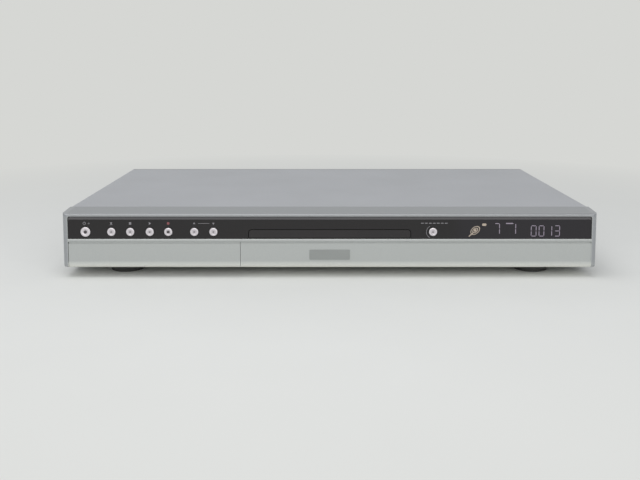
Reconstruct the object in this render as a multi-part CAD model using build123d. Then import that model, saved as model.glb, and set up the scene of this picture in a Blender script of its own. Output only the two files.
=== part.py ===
"""Slim disc recorder: folded steel case, moulded fascia, tray loading drive, boards and rear sockets.

Millimetres. X runs to the right as seen from the front, Y to the rear and Z up. The origin lies on the
surface that the feet stand on, in the middle of the overall width and depth.
"""

from build123d import *
from math import acos, atan2, cos, degrees, pi, radians, sin, sqrt, tan
import os

os.makedirs("parts", exist_ok=True)

# ---------------------------------------------------------------- overall
body_width = 430.0
body_height = 54.0
body_depth = 275.0          # fascia face to the tips of the aerial sockets
steel = 0.8                 # sheet thickness of the case
seam = 0.3                  # gap between neighbouring pieces
shaft_fit = 0.05            # radial clearance of a shaft in its bore
foot_height = 7.0
aerial_reach = 11.0         # aerial socket tip behind the rear panel
board_thick = 1.6
board_lift = 7.2            # top of the base sheet to the underside of a board

half_width = body_width / 2
y_front = -body_depth / 2
y_rear = body_depth / 2 - aerial_reach
base_low = foot_height
base_top = base_low + steel
lid_inner = body_height - steel
board_low = base_top + board_lift
board_top = board_low + board_thick

# ---------------------------------------------------------------- fascia
fascia_depth = 25.0
fascia_lift = 1.0           # lip above the underside of the base
fascia_wall = 2.2
cheek = 4.4                 # solid end of the fascia beside the window
corner_round = 4.0
brow_round = 1.6
brow_fall = 1.4             # the brow slopes down to the front
lip_round = 4.5
chin_height = 20.4          # lip to the groove
chin_recess = 0.4
groove_height = 1.3
groove_depth = 1.2
bar_height = 2.3            # bright bar under the window
bar_round = 0.6
brow_height = 3.7           # top of the case to the window
window_recess = 0.8
window_thick = 2.0
window_corner = 1.6
window_bevel = 2.4          # height of the bevel along the window's top edge
window_bevel_deep = 0.8
backing = 1.5               # fascia wall behind the window
badge_width = 32.6
badge_height = 8.1
badge_thick = 0.6
badge_lift = 7.0            # badge above the lip
clip_width = 12.0           # tongues that reach over the base
clip_reach = 5.0

lip_low = base_low + fascia_lift
groove_low = lip_low + chin_height
bar_low = groove_low + groove_height
window_low = bar_low + bar_height
window_high = body_height - brow_height
fascia_back = y_front + fascia_depth
window_face = y_front + window_recess
window_back = window_face + window_thick
backing_back = window_back + backing
chin_face = y_front + chin_recess
opening_half = half_width - cheek
badge_low = lip_low + badge_lift
frame_front = fascia_back + steel + 2 * seam    # front of the disc drive

# ---------------------------------------------------------------- flap and front sockets
flap_width = 138.2
flap_wall = 2.2
flap_rib = 0.8
flap_pin = 1.2
flap_pin_reach = 2.5
divider = 3.6               # wall between the flap bay and the chin
bay_depth = 16.5            # fascia face to the socket panel
panel_wall = 1.6
jack_barrel = 4.15
jack_shoulder = 0.35        # the barrel narrows where it passes through its panel
jack_bore = 3.4
jack_reach = 8.2
jack_core = 3.3
jack_contact = 1.6
jack_block = 10.0           # width of a socket's body
jack_height = 10.0          # centre of the front sockets above the lip
svideo_radius = 5.6
svideo_groove = 4.75
svideo_core = 3.6
svideo_depth = 5.0
front_board_gap = 9.0       # socket panel to its board
jack_dish = 0.6             # the insert ends this far inside its barrel
digital_width = 8.0
digital_slot = 5.6
digital_slot_height = 3.4
digital_depth = 5.0
front_jack_insets = {"svideo": 20.0, "yellow": 43.0, "white": 61.0, "red": 79.0, "digital": 103.0}

flap_left = -opening_half + seam
flap_right = flap_left + flap_width
flap_axis_y = chin_face + lip_round
flap_axis_z = lip_low + lip_round
flap_top = groove_low - seam
bay_back = y_front + bay_depth
front_jack_z = lip_low + jack_height
bay_roof = bar_low + groove_depth
front_face = (bay_back, -1)
front_behind = bay_back + panel_wall + front_board_gap
front_jacks = {name: inset - half_width for name, inset in front_jack_insets.items()}

# ---------------------------------------------------------------- disc tray
disc_y = frame_front + 46.1     # disc centre with the tray shut
disc_recess = 60.75
disc_recess_deep = 2.0
small_recess = 40.6
small_recess_deep = 0.8
tray_half = 63.0
tray_skirt = 2.5
tray_flange = 1.5
tray_flange_thick = 1.4
tray_floor = 1.9
tray_slot = 18.0            # half width of the slot for turntable and lens
tray_rear = disc_y + 113.0
finger_notch = 6.0
tray_travel = 140.0
tray_lift = 0.9             # tray skirt above the bright bar
tray_height = 5.6
tray_panel_half = 65.0
tray_panel_height = 6.4
tray_panel_wall = 2.5
tray_panel_round = 2.4
tray_panel_lift = 0.9
tray_gap = 0.5

tray_low = window_low + tray_lift
tray_top = tray_low + tray_height
disc_floor = tray_top - disc_recess_deep
tray_under = disc_floor - tray_floor
tray_front_y = window_face + tray_panel_wall
tray_panel_low = window_low + tray_panel_lift
tray_panel_high = tray_panel_low + tray_panel_height

# ---------------------------------------------------------------- buttons
button_cap = 3.35
power_cap = 4.0
button_gap = 0.3
button_flange = 1.3         # how much wider the flange is than the cap
button_flange_thick = 1.2
button_stem = 1.6
button_travel = 0.8
button_dish = 0.5
button_lift = 5.7           # centre above the bottom of the window
button_proud = 0.6
switch_side = 6.0
switch_deep = 3.4
switch_step = 1.0           # plunger in front of the switch body
button_board_gap = 8.0      # window backing to the board
select_inset = 18.1         # tray front to the middle of the select button
display_gap = 20.9          # select button to the display tube
display_inset = 19.0        # display tube to the side of the case
display_margin = 1.9        # display tube to the window's top and bottom
display_deep = 5.0
display_rim = 1.5
left_buttons = {            # cap radius, and distance from the left side of the case
    "power_button": (power_cap, 18.6),
    "open_close_button": (button_cap, 39.4),
    "stop_button": (button_cap, 54.6),
    "play_button": (button_cap, 70.3),
    "record_button": (button_cap, 85.2),
    "channel_down_button": (button_cap, 106.1),
    "channel_up_button": (button_cap, 121.5),
}

button_z = window_low + button_lift
button_board_y = backing_back + button_board_gap
select_x = tray_panel_half + select_inset
buttons = {name: (inset - half_width, radius) for name, (radius, inset) in left_buttons.items()}
buttons["select_button"] = (select_x, button_cap)
display_left = select_x + display_gap
display_right = half_width - display_inset
display_low = window_low + display_margin
display_high = window_high - display_margin

# ---------------------------------------------------------------- loading gears
pressure_angle = 25.0
addendum = 0.85
dedendum = 1.1
backlash = 0.14
rack_module = 1.0
rack_pinion_teeth = 16
train_module = 0.8
drive_teeth = 40
pulley_teeth = 10
pulley_radius = 10.0
motor_pulley_radius = 3.0
pulley_rim = 0.9
belt_thick = 1.0
belt_gap = 0.08
gear_x = 46.0
gear_y = disc_y - 33.0
gear_low_z = 28.9
gear_thick = 2.0
gear_post = 1.5
wheel_hole = 2.2
pulley_hole = 1.8
pulley_step = 0.4
pulley_low_z = gear_low_z + gear_thick + pulley_step
pulley_thick = 2.4
pinion_high_z = 34.2
rack_back = 3.0
rack_end = 5.0              # rack beyond the first and last tooth in use
motor_x = -48.0
motor_y = disc_y - 34.5
motor_radius = 8.0
motor_length = 14.0
motor_shaft = 1.0

rack_pinion_radius = rack_module * rack_pinion_teeth / 2
drive_radius = train_module * drive_teeth / 2
pulley_pinion_radius = train_module * pulley_teeth / 2
pulley_x = gear_x - drive_radius - pulley_pinion_radius
rack_x = gear_x + rack_pinion_radius

# ---------------------------------------------------------------- drive frame
frame_gap = 0.3             # tray flange to the frame's side wall
frame_wall = 2.2
frame_rear = disc_y + 127.0
frame_low = base_top + 0.8
frame_floor = 1.6
frame_deck = 1.6
frame_top = 42.0
frame_ear = 9.0
deck_depth = 18.5
deck_gap = 0.4              # gears above the deck
deck_left = -32.5
deck_right = 17.5
rear_floor_y = disc_y + 95.0
guide_rib = 1.4
frame_half = tray_half + tray_flange + frame_gap
frame_outer = frame_half + frame_wall
deck_top = gear_low_z - deck_gap
bridge_thick = 1.0
bridge_depth = 40.0
bridge_hole = 12.0
bridge_boss = 3.2           # radius of the screw bosses on the side walls
bridge_boss_deep = 8.0
clamper_radius = 14.0
clamper_neck = 11.5
clamper_lift = 0.9
clamper_low_thick = 2.0
clamper_cap_thick = 1.3
clamper_play = 0.4

# ---------------------------------------------------------------- traverse lift
lift_half = 43.0
lift_bar = 2.8
lift_end = 8.0
lift_front_y = disc_y - 27.0
lift_rear_y = disc_y + 113.0
lift_low_z = 20.5
lift_thick = 3.0
lift_pin = 2.0
lift_pin_reach = 4.0
lift_pin_y = disc_y + 109.0
lift_pin_z = 22.0
lift_drop = 4.5             # degrees from play to load
peg_x = -8.0
peg_z = 26.3
peg_radius = 1.5
peg_reach = 8.5
cam_travel = 16.0
cam_play = 0.25
cam_dwell = 3.0
cam_rim = 3.0
cam_wall = 2.0
cam_wall_y = disc_y - 34.0
cam_top = 30.4
cam_base = 2.0
cam_foot = 5.0
damper_x = 38.0
damper_front_y = disc_y - 20.0
damper_rear_y = disc_y + 96.0
damper_radius = 4.2
damper_waist = 2.4
damper_bore = 1.0
damper_height = 3.6
plate_thick = 1.0
plate_lift = 1.3            # lift frame to the plate, held by the dampers
plate_front_y = disc_y - 25.5
plate_rear_y = disc_y + 101.0
plate_window = 33.0
window_front_y = disc_y + 13.5
sled_travel = 34.0
window_rear_y = disc_y + 44.5 + sled_travel
spindle_radius = 11.5
spindle_height = 5.5
spindle_shaft = 1.5
turntable_radius = 14.5
turntable_skirt = 12.0
turntable_thick = 2.2
turntable_lift = 1.2        # disc seat above the tray's floor
hub_radius = 7.4
hub_tip = 6.4
hub_height = 2.2
rod_x = 29.0
rod_radius = 1.5
rod_clip = 3.0
rod_wall = 0.7
sled_front_y = disc_y + 14.5
sled_rear_y = disc_y + 40.0
sled_half = 25.0
sled_low_z = 21.5
sled_high_z = 28.2
sled_boss = 2.9
sled_hollow = 3.5           # room for the motor's base in the front edge
lens_y = disc_y + 24.0
lens_radius = 3.2
lens_holder = 7.0
lens_half = 5.6
lens_dome = 1.2
lens_top_z = 35.8
sled_rack_module = 0.6
sled_rack_out = 4.0         # guide rod to the rack's pitch line
sled_rack_lift = 0.2
sled_gear_gap = 0.4         # rack to the large wheel above it
sled_pinion_teeth = 12
sled_rack_thick = 1.5
sled_module = 0.5
sled_gear_teeth = 36
sled_motor_teeth = 10
sled_gear_y = disc_y + 39.0 + sled_travel
sled_motor_turn = 100.0     # direction from the sled gear to its motor, in degrees
sled_motor_radius = 3.8
sled_motor_length = 9.0

lift_angle = radians(lift_drop)
peg_y = cam_wall_y + cam_wall / 2
peg_arm_y = peg_y - lift_pin_y
peg_arm_z = peg_z - lift_pin_z
peg_drop = peg_arm_z - (peg_arm_y * sin(lift_angle) + peg_arm_z * cos(lift_angle))
cam_slot_end_x = peg_x - cam_travel
cam_x0 = cam_slot_end_x - cam_dwell - peg_radius - cam_play - cam_rim
cam_x1 = peg_x + cam_dwell + peg_radius + cam_play + cam_rim
cam_low = frame_low + frame_floor + seam
clamper_low = tray_top + clamper_lift
plate_low = lift_low_z + lift_thick + plate_lift
plate_top = plate_low + plate_thick
disc_seat = disc_floor + turntable_lift
rod_z = plate_low + plate_thick / 2
sled_rack_radius = sled_rack_module * sled_pinion_teeth / 2
sled_rack_x = rod_x + sled_rack_out
sled_gear_x = sled_rack_x + sled_rack_radius
sled_reach = sled_module * (sled_gear_teeth + sled_motor_teeth) / 2
sled_motor_x = sled_gear_x + sled_reach * cos(radians(sled_motor_turn))
sled_motor_y = sled_gear_y + sled_reach * sin(radians(sled_motor_turn))
sled_rack_low = sled_high_z + sled_rack_lift
sled_gear_low = sled_rack_low + sled_rack_thick + sled_gear_gap

# ---------------------------------------------------------------- boards and their parts
board_edge = 7.0            # board to the side of the case
board_front = 33.5          # fascia face to the boards
power_board = (board_edge - half_width, -frame_outer - 21.0, y_front + board_front, y_rear - 28.5)
main_board = (frame_outer + 11.0, half_width - board_edge, y_front + board_front, y_rear - 14.5)
standoff_radius = 2.8
standoff_inset = 6.0
transformer_at = (power_board[0] + 58.0, power_board[2] + 84.0)
transformer_size = (38.0, 32.0, 26.0)
transformer_wall = 4.0
left_cans = [(20.0, 124.0, 9.0, 30.0), (43.0, 138.0, 6.3, 20.0), (60.0, 140.0, 6.3, 20.0)]
right_cans = [(-30.0, 124.0, 5.0, 16.0), (-16.0, 124.0, 5.0, 16.0), (-30.0, 108.0, 5.0, 16.0)]
can_round = 0.6
can_crimp = 1.5
chip_places = [(62.0, 84.0, 26.0, 26.0), (34.0, 82.0, 12.0, 18.0), (34.0, 110.0, 12.0, 18.0),
               (92.0, 114.0, 14.0, 20.0), (102.0, 54.0, 10.0, 14.0)]
chip_thick = 1.8
sink_side = 34.0
sink_base = 2.0
sink_height = 12.0
sink_fins = 8
sink_fin = 1.2

capacitors = [(power_board[0] + x, power_board[2] + y, radius, high) for x, y, radius, high in left_cans]
capacitors += [(power_board[1] + x, power_board[2] + y, radius, high) for x, y, radius, high in right_cans]
chips = [(main_board[0] + x, main_board[2] + y, width, deep) for x, y, width, deep in chip_places]

# ---------------------------------------------------------------- rear panel and sockets
rear_edge = 0.5             # rear panel to the cover's inner face
cover_rear_lip = 10.0       # height of the cover's lip over the rear panel
rear_row_high = body_height - cover_rear_lip - 6.5
rear_row_low = rear_row_high - 13.5
rear_jack_insets = {        # distance from the right side of the case, and height
    "yellow": [(69.0, rear_row_low), (69.0, rear_row_high)],
    "white": [(84.0, rear_row_low), (84.0, rear_row_high)],
    "red": [(99.0, rear_row_low), (99.0, rear_row_high), (149.0, rear_row_low)],
    "green": [(119.0, rear_row_low)],
    "blue": [(134.0, rear_row_low)],
}
rear_block = 14.0
rear_svideo = [(half_width - 119.0, rear_row_high), (half_width - 137.0, rear_row_high)]
optical_at = (half_width - 155.0, rear_row_high)
optical_side = 9.6
optical_deep = 12.0
tuner_x = (half_width - 58.0, half_width - 18.0)
tuner_deep = 58.0
tuner_height = 30.0
tuner_lid = 2.6
tuner_groove = 0.4
aerial_x = (half_width - 48.0, half_width - 28.0)
aerial_z = 30.0
aerial_radius = 4.7
aerial_bore = 1.4
aerial_shoulder = 0.5       # plain part under the nut, wider than the thread
aerial_nut = 7.0
aerial_nut_thick = 2.0
inlet_x = 97.0 - half_width
inlet_z = 26.0
inlet_width = 20.0
inlet_height = 13.0
inlet_deep = 16.0
inlet_wall = 1.8
inlet_pin = 1.2
inlet_pin_pitch = 8.6
inlet_flange = 2.5
inlet_tag = 1.0             # half width of a solder tag
fan_x = 43.0 - half_width
fan_z = (base_top + lid_inner) / 2
fan_side = 40.0
fan_deep = 10.0
fan_bore = 18.6
fan_tip = 17.8
fan_hub = 10.0
fan_blades = 7
fan_blade_thick = 1.2
fan_shaft = 1.5
fan_axle = 6.0
fan_spider = 1.4
fan_corner = 2.5
fan_chord = 7.0
fan_pitch = 38.0            # degrees between a blade and the fan's face
fan_hole = 2.2
fan_rings = ((0.3, 6), (0.6, 12), (0.88, 18))   # grille: share of the bore and holes on each ring

rear_face = (y_rear, 1)
rear_behind = y_rear - rear_block
rear_jacks = {name: [(half_width - inset, z) for inset, z in places]
              for name, places in rear_jack_insets.items()}

# ---------------------------------------------------------------- cover, chassis and feet
cover_bend = 2.0
cover_side_gap = 0.5
vent_length = 14.0
vent_width = 2.4
vent_pitch = 6.0
vent_count = 9
chassis_flange = 9.0
chassis_front_flange = 4.0
screw_head = 3.2
screw_head_thick = 1.8
screw_shank = 1.5
screw_reach = 5.0
side_screw_y = (y_front + 67.5, y_rear - 26.5)
rear_screw_x = (10.0 - half_width, 10.0, half_width - 10.0)
foot_x = half_width - 45.0
foot_y = (y_front + board_front, y_rear - 26.5)
clip_x = (-frame_outer - 15.0, frame_outer + 33.0, half_width - 25.0)
foot_radius = 15.0
foot_taper = 1.5
foot_stud = 3.0
foot_ring = 9.0
foot_ring_deep = 1.5

side_screw_z = base_low + chassis_flange / 2 + 1.0
rear_screw_z = body_height - cover_rear_lip / 2
chassis_half = half_width - steel - cover_side_gap
ear_low = base_top + board_lift


# ================================================================ small helpers
def block(x0, x1, y0, y1, z0, z1):
    """Solid between two opposite corners."""
    centre = Pos((x0 + x1) / 2, (y0 + y1) / 2, (z0 + z1) / 2)
    return centre * Box(abs(x1 - x0), abs(y1 - y0), abs(z1 - z0))


def post(x, y, z0, z1, radius):
    """Upright cylinder."""
    return Pos(x, y, (z0 + z1) / 2) * Cylinder(radius, abs(z1 - z0))


def cross_pin(y, z, x0, x1, radius):
    """Cylinder along X."""
    return Pos((x0 + x1) / 2, y, z) * Rot(0, 90, 0) * Cylinder(radius, abs(x1 - x0))


def level_pin(x, z, y0, y1, radius):
    """Cylinder along Y."""
    return Pos(x, (y0 + y1) / 2, z) * Rot(90, 0, 0) * Cylinder(radius, abs(y1 - y0))


def outline(*points):
    """Flat face from its corners, always facing up whichever way round they are given."""
    turns = sum(a[0] * b[1] - b[0] * a[1] for a, b in zip(points, points[1:] + points[:1]))
    return Polygon(*(points if turns > 0 else points[::-1]), align=None)


def side_profile(face, x0, x1):
    """Outline in the YZ plane, extruded from x0 to x1."""
    return Pos(x0, 0, 0) * extrude(Plane.YZ * face, amount=x1 - x0)


def rounded_slab(x0, x1, z0, z1, y0, y1, radius):
    """Upright plate facing -Y with rounded corners."""
    sketch = RectangleRounded(x1 - x0, z1 - z0, radius)
    solid = extrude(Plane.XZ * sketch, amount=-(y1 - y0))
    return Pos((x0 + x1) / 2, y0, (z0 + z1) / 2) * solid


def save(name, shape):
    """One file for each node."""
    export_step(shape, f"parts/{name}.step")


# ================================================================ gear outlines
def flank(angle):
    """Involute function of an angle."""
    return tan(angle) - angle


def gear_face(module, teeth):
    """Flat involute gear with a tooth centred on +X."""
    alpha = radians(pressure_angle)
    pitch = module * teeth / 2
    base = pitch * cos(alpha)
    tip = pitch + addendum * module
    root = pitch - dedendum * module
    half = (pi * module / 2 - backlash / 2) / (2 * pitch)
    low = max(base, root)
    stations = [root, low, pitch, tip] if low > root + 0.05 else [root, pitch, tip]
    rising = []
    for radius in stations:
        slope = acos(min(1.0, base / max(radius, base)))
        rising.append((radius, half + flank(alpha) - flank(slope)))
    points = []
    for tooth in range(teeth):
        middle = 2 * pi * tooth / teeth
        points += [(r * cos(middle - a), r * sin(middle - a)) for r, a in rising]
        points += [(r * cos(middle + a), r * sin(middle + a)) for r, a in reversed(rising)]
    return outline(*points)


def gear(module, teeth, x, y, z0, z1, turn=0.0):
    """Spur gear on an upright axis."""
    return Pos(x, y, z0) * Rot(0, 0, turn) * extrude(gear_face(module, teeth), amount=z1 - z0)


def rack(module, pitch_x, back_x, y0, y1, gap_y, z0, z1):
    """Rack along Y with a tooth gap centred at gap_y; its teeth point from back_x to pitch_x."""
    away = 1 if back_x > pitch_x else -1
    tip_x = pitch_x - away * addendum * module
    root_x = pitch_x + away * dedendum * module
    lean = tan(radians(pressure_angle))
    half = (pi * module / 2 - backlash / 2) / 2
    pitch = pi * module
    first = int((y0 - gap_y) / pitch) + 1
    count = int((y1 - y0) / pitch) - 1
    points = [(back_x, y0), (root_x, y0)]
    for step in range(first, first + count):
        middle = gap_y + (step + 0.5) * pitch
        points.append((root_x, middle - half - lean * dedendum * module))
        points.append((tip_x, middle - half + lean * addendum * module))
        points.append((tip_x, middle + half - lean * addendum * module))
        points.append((root_x, middle + half + lean * dedendum * module))
    points += [(root_x, y1), (back_x, y1)]
    return Pos(0, 0, z0) * extrude(outline(*points), amount=z1 - z0)


def belt_face(centre_a, radius_a, centre_b, radius_b):
    """Outline of a belt run round two pulleys."""
    dx = centre_b[0] - centre_a[0]
    dy = centre_b[1] - centre_a[1]
    heading = atan2(dy, dx)
    spread = acos((radius_a - radius_b) / sqrt(dx * dx + dy * dy))
    corners = []
    for centre, radius, side in ((centre_a, radius_a, 1), (centre_b, radius_b, 1),
                                 (centre_b, radius_b, -1), (centre_a, radius_a, -1)):
        angle = heading + side * spread
        corners.append((centre[0] + radius * cos(angle), centre[1] + radius * sin(angle)))
    ends = Pos(*centre_a) * Circle(radius_a) + Pos(*centre_b) * Circle(radius_b)
    return ends + outline(*corners)


# ================================================================ case
def make_cover():
    """Folded top cover: roof, two sides and a lip over the top of the rear panel."""
    outer_size = Rectangle(body_width, body_height - base_low, align=(Align.CENTER, Align.MAX))
    top_corners = outer_size.vertices().group_by(Axis.Y)[-1]
    outer_face = fillet(top_corners, cover_bend)
    inner_size = Rectangle(body_width - 2 * steel, body_height - base_low, align=(Align.CENTER, Align.MAX))
    inner_corners = inner_size.vertices().group_by(Axis.Y)[-1]
    inner_face = fillet(inner_corners, cover_bend - steel)
    y_end = y_rear + steel
    outer = Pos(0, fascia_back, body_height) * extrude(Plane.XZ * outer_face, amount=-(y_end - fascia_back))
    rear_top = outer.edges().filter_by(Axis.X).group_by(Axis.Y)[-1].group_by(Axis.Z)[-1]
    outer = fillet(rear_top, cover_bend)
    inner = Pos(0, fascia_back, lid_inner) * extrude(Plane.XZ * inner_face, amount=-(y_rear - fascia_back))
    cover = outer - inner
    lip_cut = body_height - cover_rear_lip
    cover -= block(-half_width + steel, half_width - steel, y_rear, y_end, base_low, lip_cut)
    slot_low = lip_low + chassis_flange + board_lift
    for index in range(vent_count):
        for start in (side_screw_y[0] + 2 * vent_pitch, side_screw_y[1] - (vent_count + 1) * vent_pitch):
            y_slot = start + index * vent_pitch
            slot = rounded_slab(-vent_width / 2, vent_width / 2, slot_low, slot_low + vent_length,
                                -half_width - steel, half_width + steel, vent_width / 2 - shaft_fit)
            cover -= Pos(0, y_slot, 0) * Rot(0, 0, 90) * slot
    for y_screw in side_screw_y:
        cover -= cross_pin(y_screw, side_screw_z, -half_width - steel, half_width + steel,
                           screw_shank + shaft_fit)
    for x_screw in rear_screw_x:
        cover -= level_pin(x_screw, rear_screw_z, y_rear - steel, y_end + steel, screw_shank + shaft_fit)
    return cover


def board_corners(board):
    """Places of a board's four standoffs."""
    x0, x1, y0, y1 = board
    return [(x, y) for x in (x0 + standoff_inset, x1 - standoff_inset)
            for y in (y0 + standoff_inset, y1 - standoff_inset)]


drive_ears = [(side * (frame_outer + frame_ear / 2), y) for side in (-1, 1)
              for y in (frame_front + frame_ear, frame_rear - frame_ear)]
bridge_screws = [(side * (frame_outer + bridge_boss / 2), disc_y + shift) for side in (-1, 1)
                 for shift in (-bridge_depth / 3, bridge_depth / 3)]


def make_chassis():
    """Base sheet with upturned flanges, board standoffs and bosses for the drive."""
    y_inner = fascia_back + seam
    y_back = y_rear - steel
    chassis = block(-chassis_half, chassis_half, y_inner, y_back, base_low, base_low + chassis_flange)
    chassis -= block(-chassis_half + steel, chassis_half - steel, y_inner + steel, y_back + steel,
                     base_top, base_low + 2 * chassis_flange)
    chassis -= block(-chassis_half + steel, chassis_half - steel, y_inner - steel, y_inner + 2 * steel,
                     base_top + chassis_front_flange, base_low + 2 * chassis_flange)
    for x, y in board_corners(power_board) + board_corners(main_board):
        chassis += post(x, y, base_top, board_low, standoff_radius)
        chassis -= post(x, y, base_low, board_low, screw_shank + shaft_fit)
    for x, y in drive_ears:
        chassis += post(x, y, base_top, ear_low, 1.4 * standoff_radius)
        chassis -= post(x, y, base_low, ear_low, screw_shank + shaft_fit)
    for x in (-foot_x, foot_x):
        for y in foot_y:
            chassis -= post(x, y, base_low, base_top, foot_stud + seam)
    for side in (-1, 1):
        for y_screw in side_screw_y:
            x_flange = side * (chassis_half - steel)
            chassis -= cross_pin(y_screw, side_screw_z, x_flange - steel, x_flange + 2 * steel,
                                 screw_shank + shaft_fit)
        for index in range(vent_count):
            x_vent = side * (power_board[1] + power_board[0]) / 2 + (index - vent_count // 2) * vent_pitch
            chassis -= block(x_vent - vent_width / 2, x_vent + vent_width / 2,
                             -vent_length, vent_length, base_low, base_top)
    return chassis


def make_rear_panel():
    """Sheet panel with the cut-outs for every rear socket and the fan grille."""
    y0 = y_rear - steel
    width = chassis_half - rear_edge
    panel = block(-width, width, y0, y_rear, base_top, lid_inner - rear_edge)
    panel += block(-width + chassis_flange, width - chassis_flange, y0 - chassis_flange, y_rear,
                   base_top, base_top + steel)
    reach = (y0 - steel, y_rear + steel)
    for places in rear_jacks.values():
        for x, z in places:
            panel -= level_pin(x, z, *reach, jack_barrel - jack_shoulder + shaft_fit)
    for x, z in rear_svideo:
        panel -= level_pin(x, z, *reach, svideo_radius + seam)
    side = optical_side / 2 + seam
    panel -= block(optical_at[0] - side, optical_at[0] + side, *reach,
                   optical_at[1] - side, optical_at[1] + side)
    for x in aerial_x:
        panel -= level_pin(x, aerial_z, *reach, aerial_radius + aerial_shoulder + shaft_fit)
    wide = inlet_width / 2 + seam
    tall = inlet_height / 2 + seam
    panel -= block(inlet_x - wide, inlet_x + wide, *reach, inlet_z - tall, inlet_z + tall)
    for x_screw in rear_screw_x:
        panel -= level_pin(x_screw, rear_screw_z, *reach, screw_shank + shaft_fit)
    for ring, holes in fan_rings:
        for index in range(holes):
            angle = 2 * pi * index / holes
            x = fan_x + ring * fan_bore * cos(angle)
            z = fan_z + ring * fan_bore * sin(angle)
            hole = extrude(RegularPolygon(fan_hole, 6), amount=steel, both=True)
            panel -= Pos(x, y_rear, z) * Rot(90, 0, 0) * hole
    return panel


def make_screws():
    """Pan head screws: cover sides and rear edge, boards, drive ears and clamp bridge."""
    head = Pos(0, 0, screw_head_thick / 2) * Cylinder(screw_head, screw_head_thick)
    head = fillet(head.edges().group_by(Axis.Z)[-1], screw_head_thick / 2)
    head -= Pos(0, 0, screw_head_thick) * Box(screw_head, steel, screw_head_thick)
    head -= Pos(0, 0, screw_head_thick) * Box(steel, screw_head, screw_head_thick)
    screw = head + post(0, 0, -screw_reach, 0, screw_shank)
    places = [Pos(side * half_width, y, side_screw_z) * Rot(0, side * 90, 0)
              for side in (-1, 1) for y in side_screw_y]
    places += [Pos(x, y_rear + steel, rear_screw_z) * Rot(-90, 0, 0) for x in rear_screw_x]
    places += [Pos(x, y, board_top) for x, y in board_corners(power_board) + board_corners(main_board)]
    places += [Pos(x, y, ear_low + frame_floor) for x, y in drive_ears]
    places += [Pos(x, y, frame_top + bridge_thick) for x, y in bridge_screws]
    return [place * screw for place in places]


def make_feet():
    """Four round tapered feet, each with a ring recess below and a stud in the base sheet."""
    section = [(0, 0), (foot_radius - foot_taper, 0), (foot_radius, foot_height - foot_taper),
               (foot_radius, foot_height), (foot_stud, foot_height),
               (foot_stud, foot_height + 2 * steel), (0, foot_height + 2 * steel)]
    foot = revolve(Plane.XZ * outline(*section), Axis.Z, 360)
    foot -= post(0, 0, 0, foot_ring_deep, foot_ring)
    return [Pos(x, y, 0) * foot for x in (-foot_x, foot_x) for y in foot_y]


# ================================================================ fascia
def window_slab(half, low, high, front, radius):
    """Upright plate from its front face to the window seat, with rounded top corners."""
    face = Rectangle(2 * half, high - low, align=(Align.CENTER, Align.MIN))
    face = fillet(face.vertices().group_by(Axis.Y)[-1], radius)
    return Pos(0, front, low) * extrude(Plane.XZ * face, amount=front - window_back)


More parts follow.
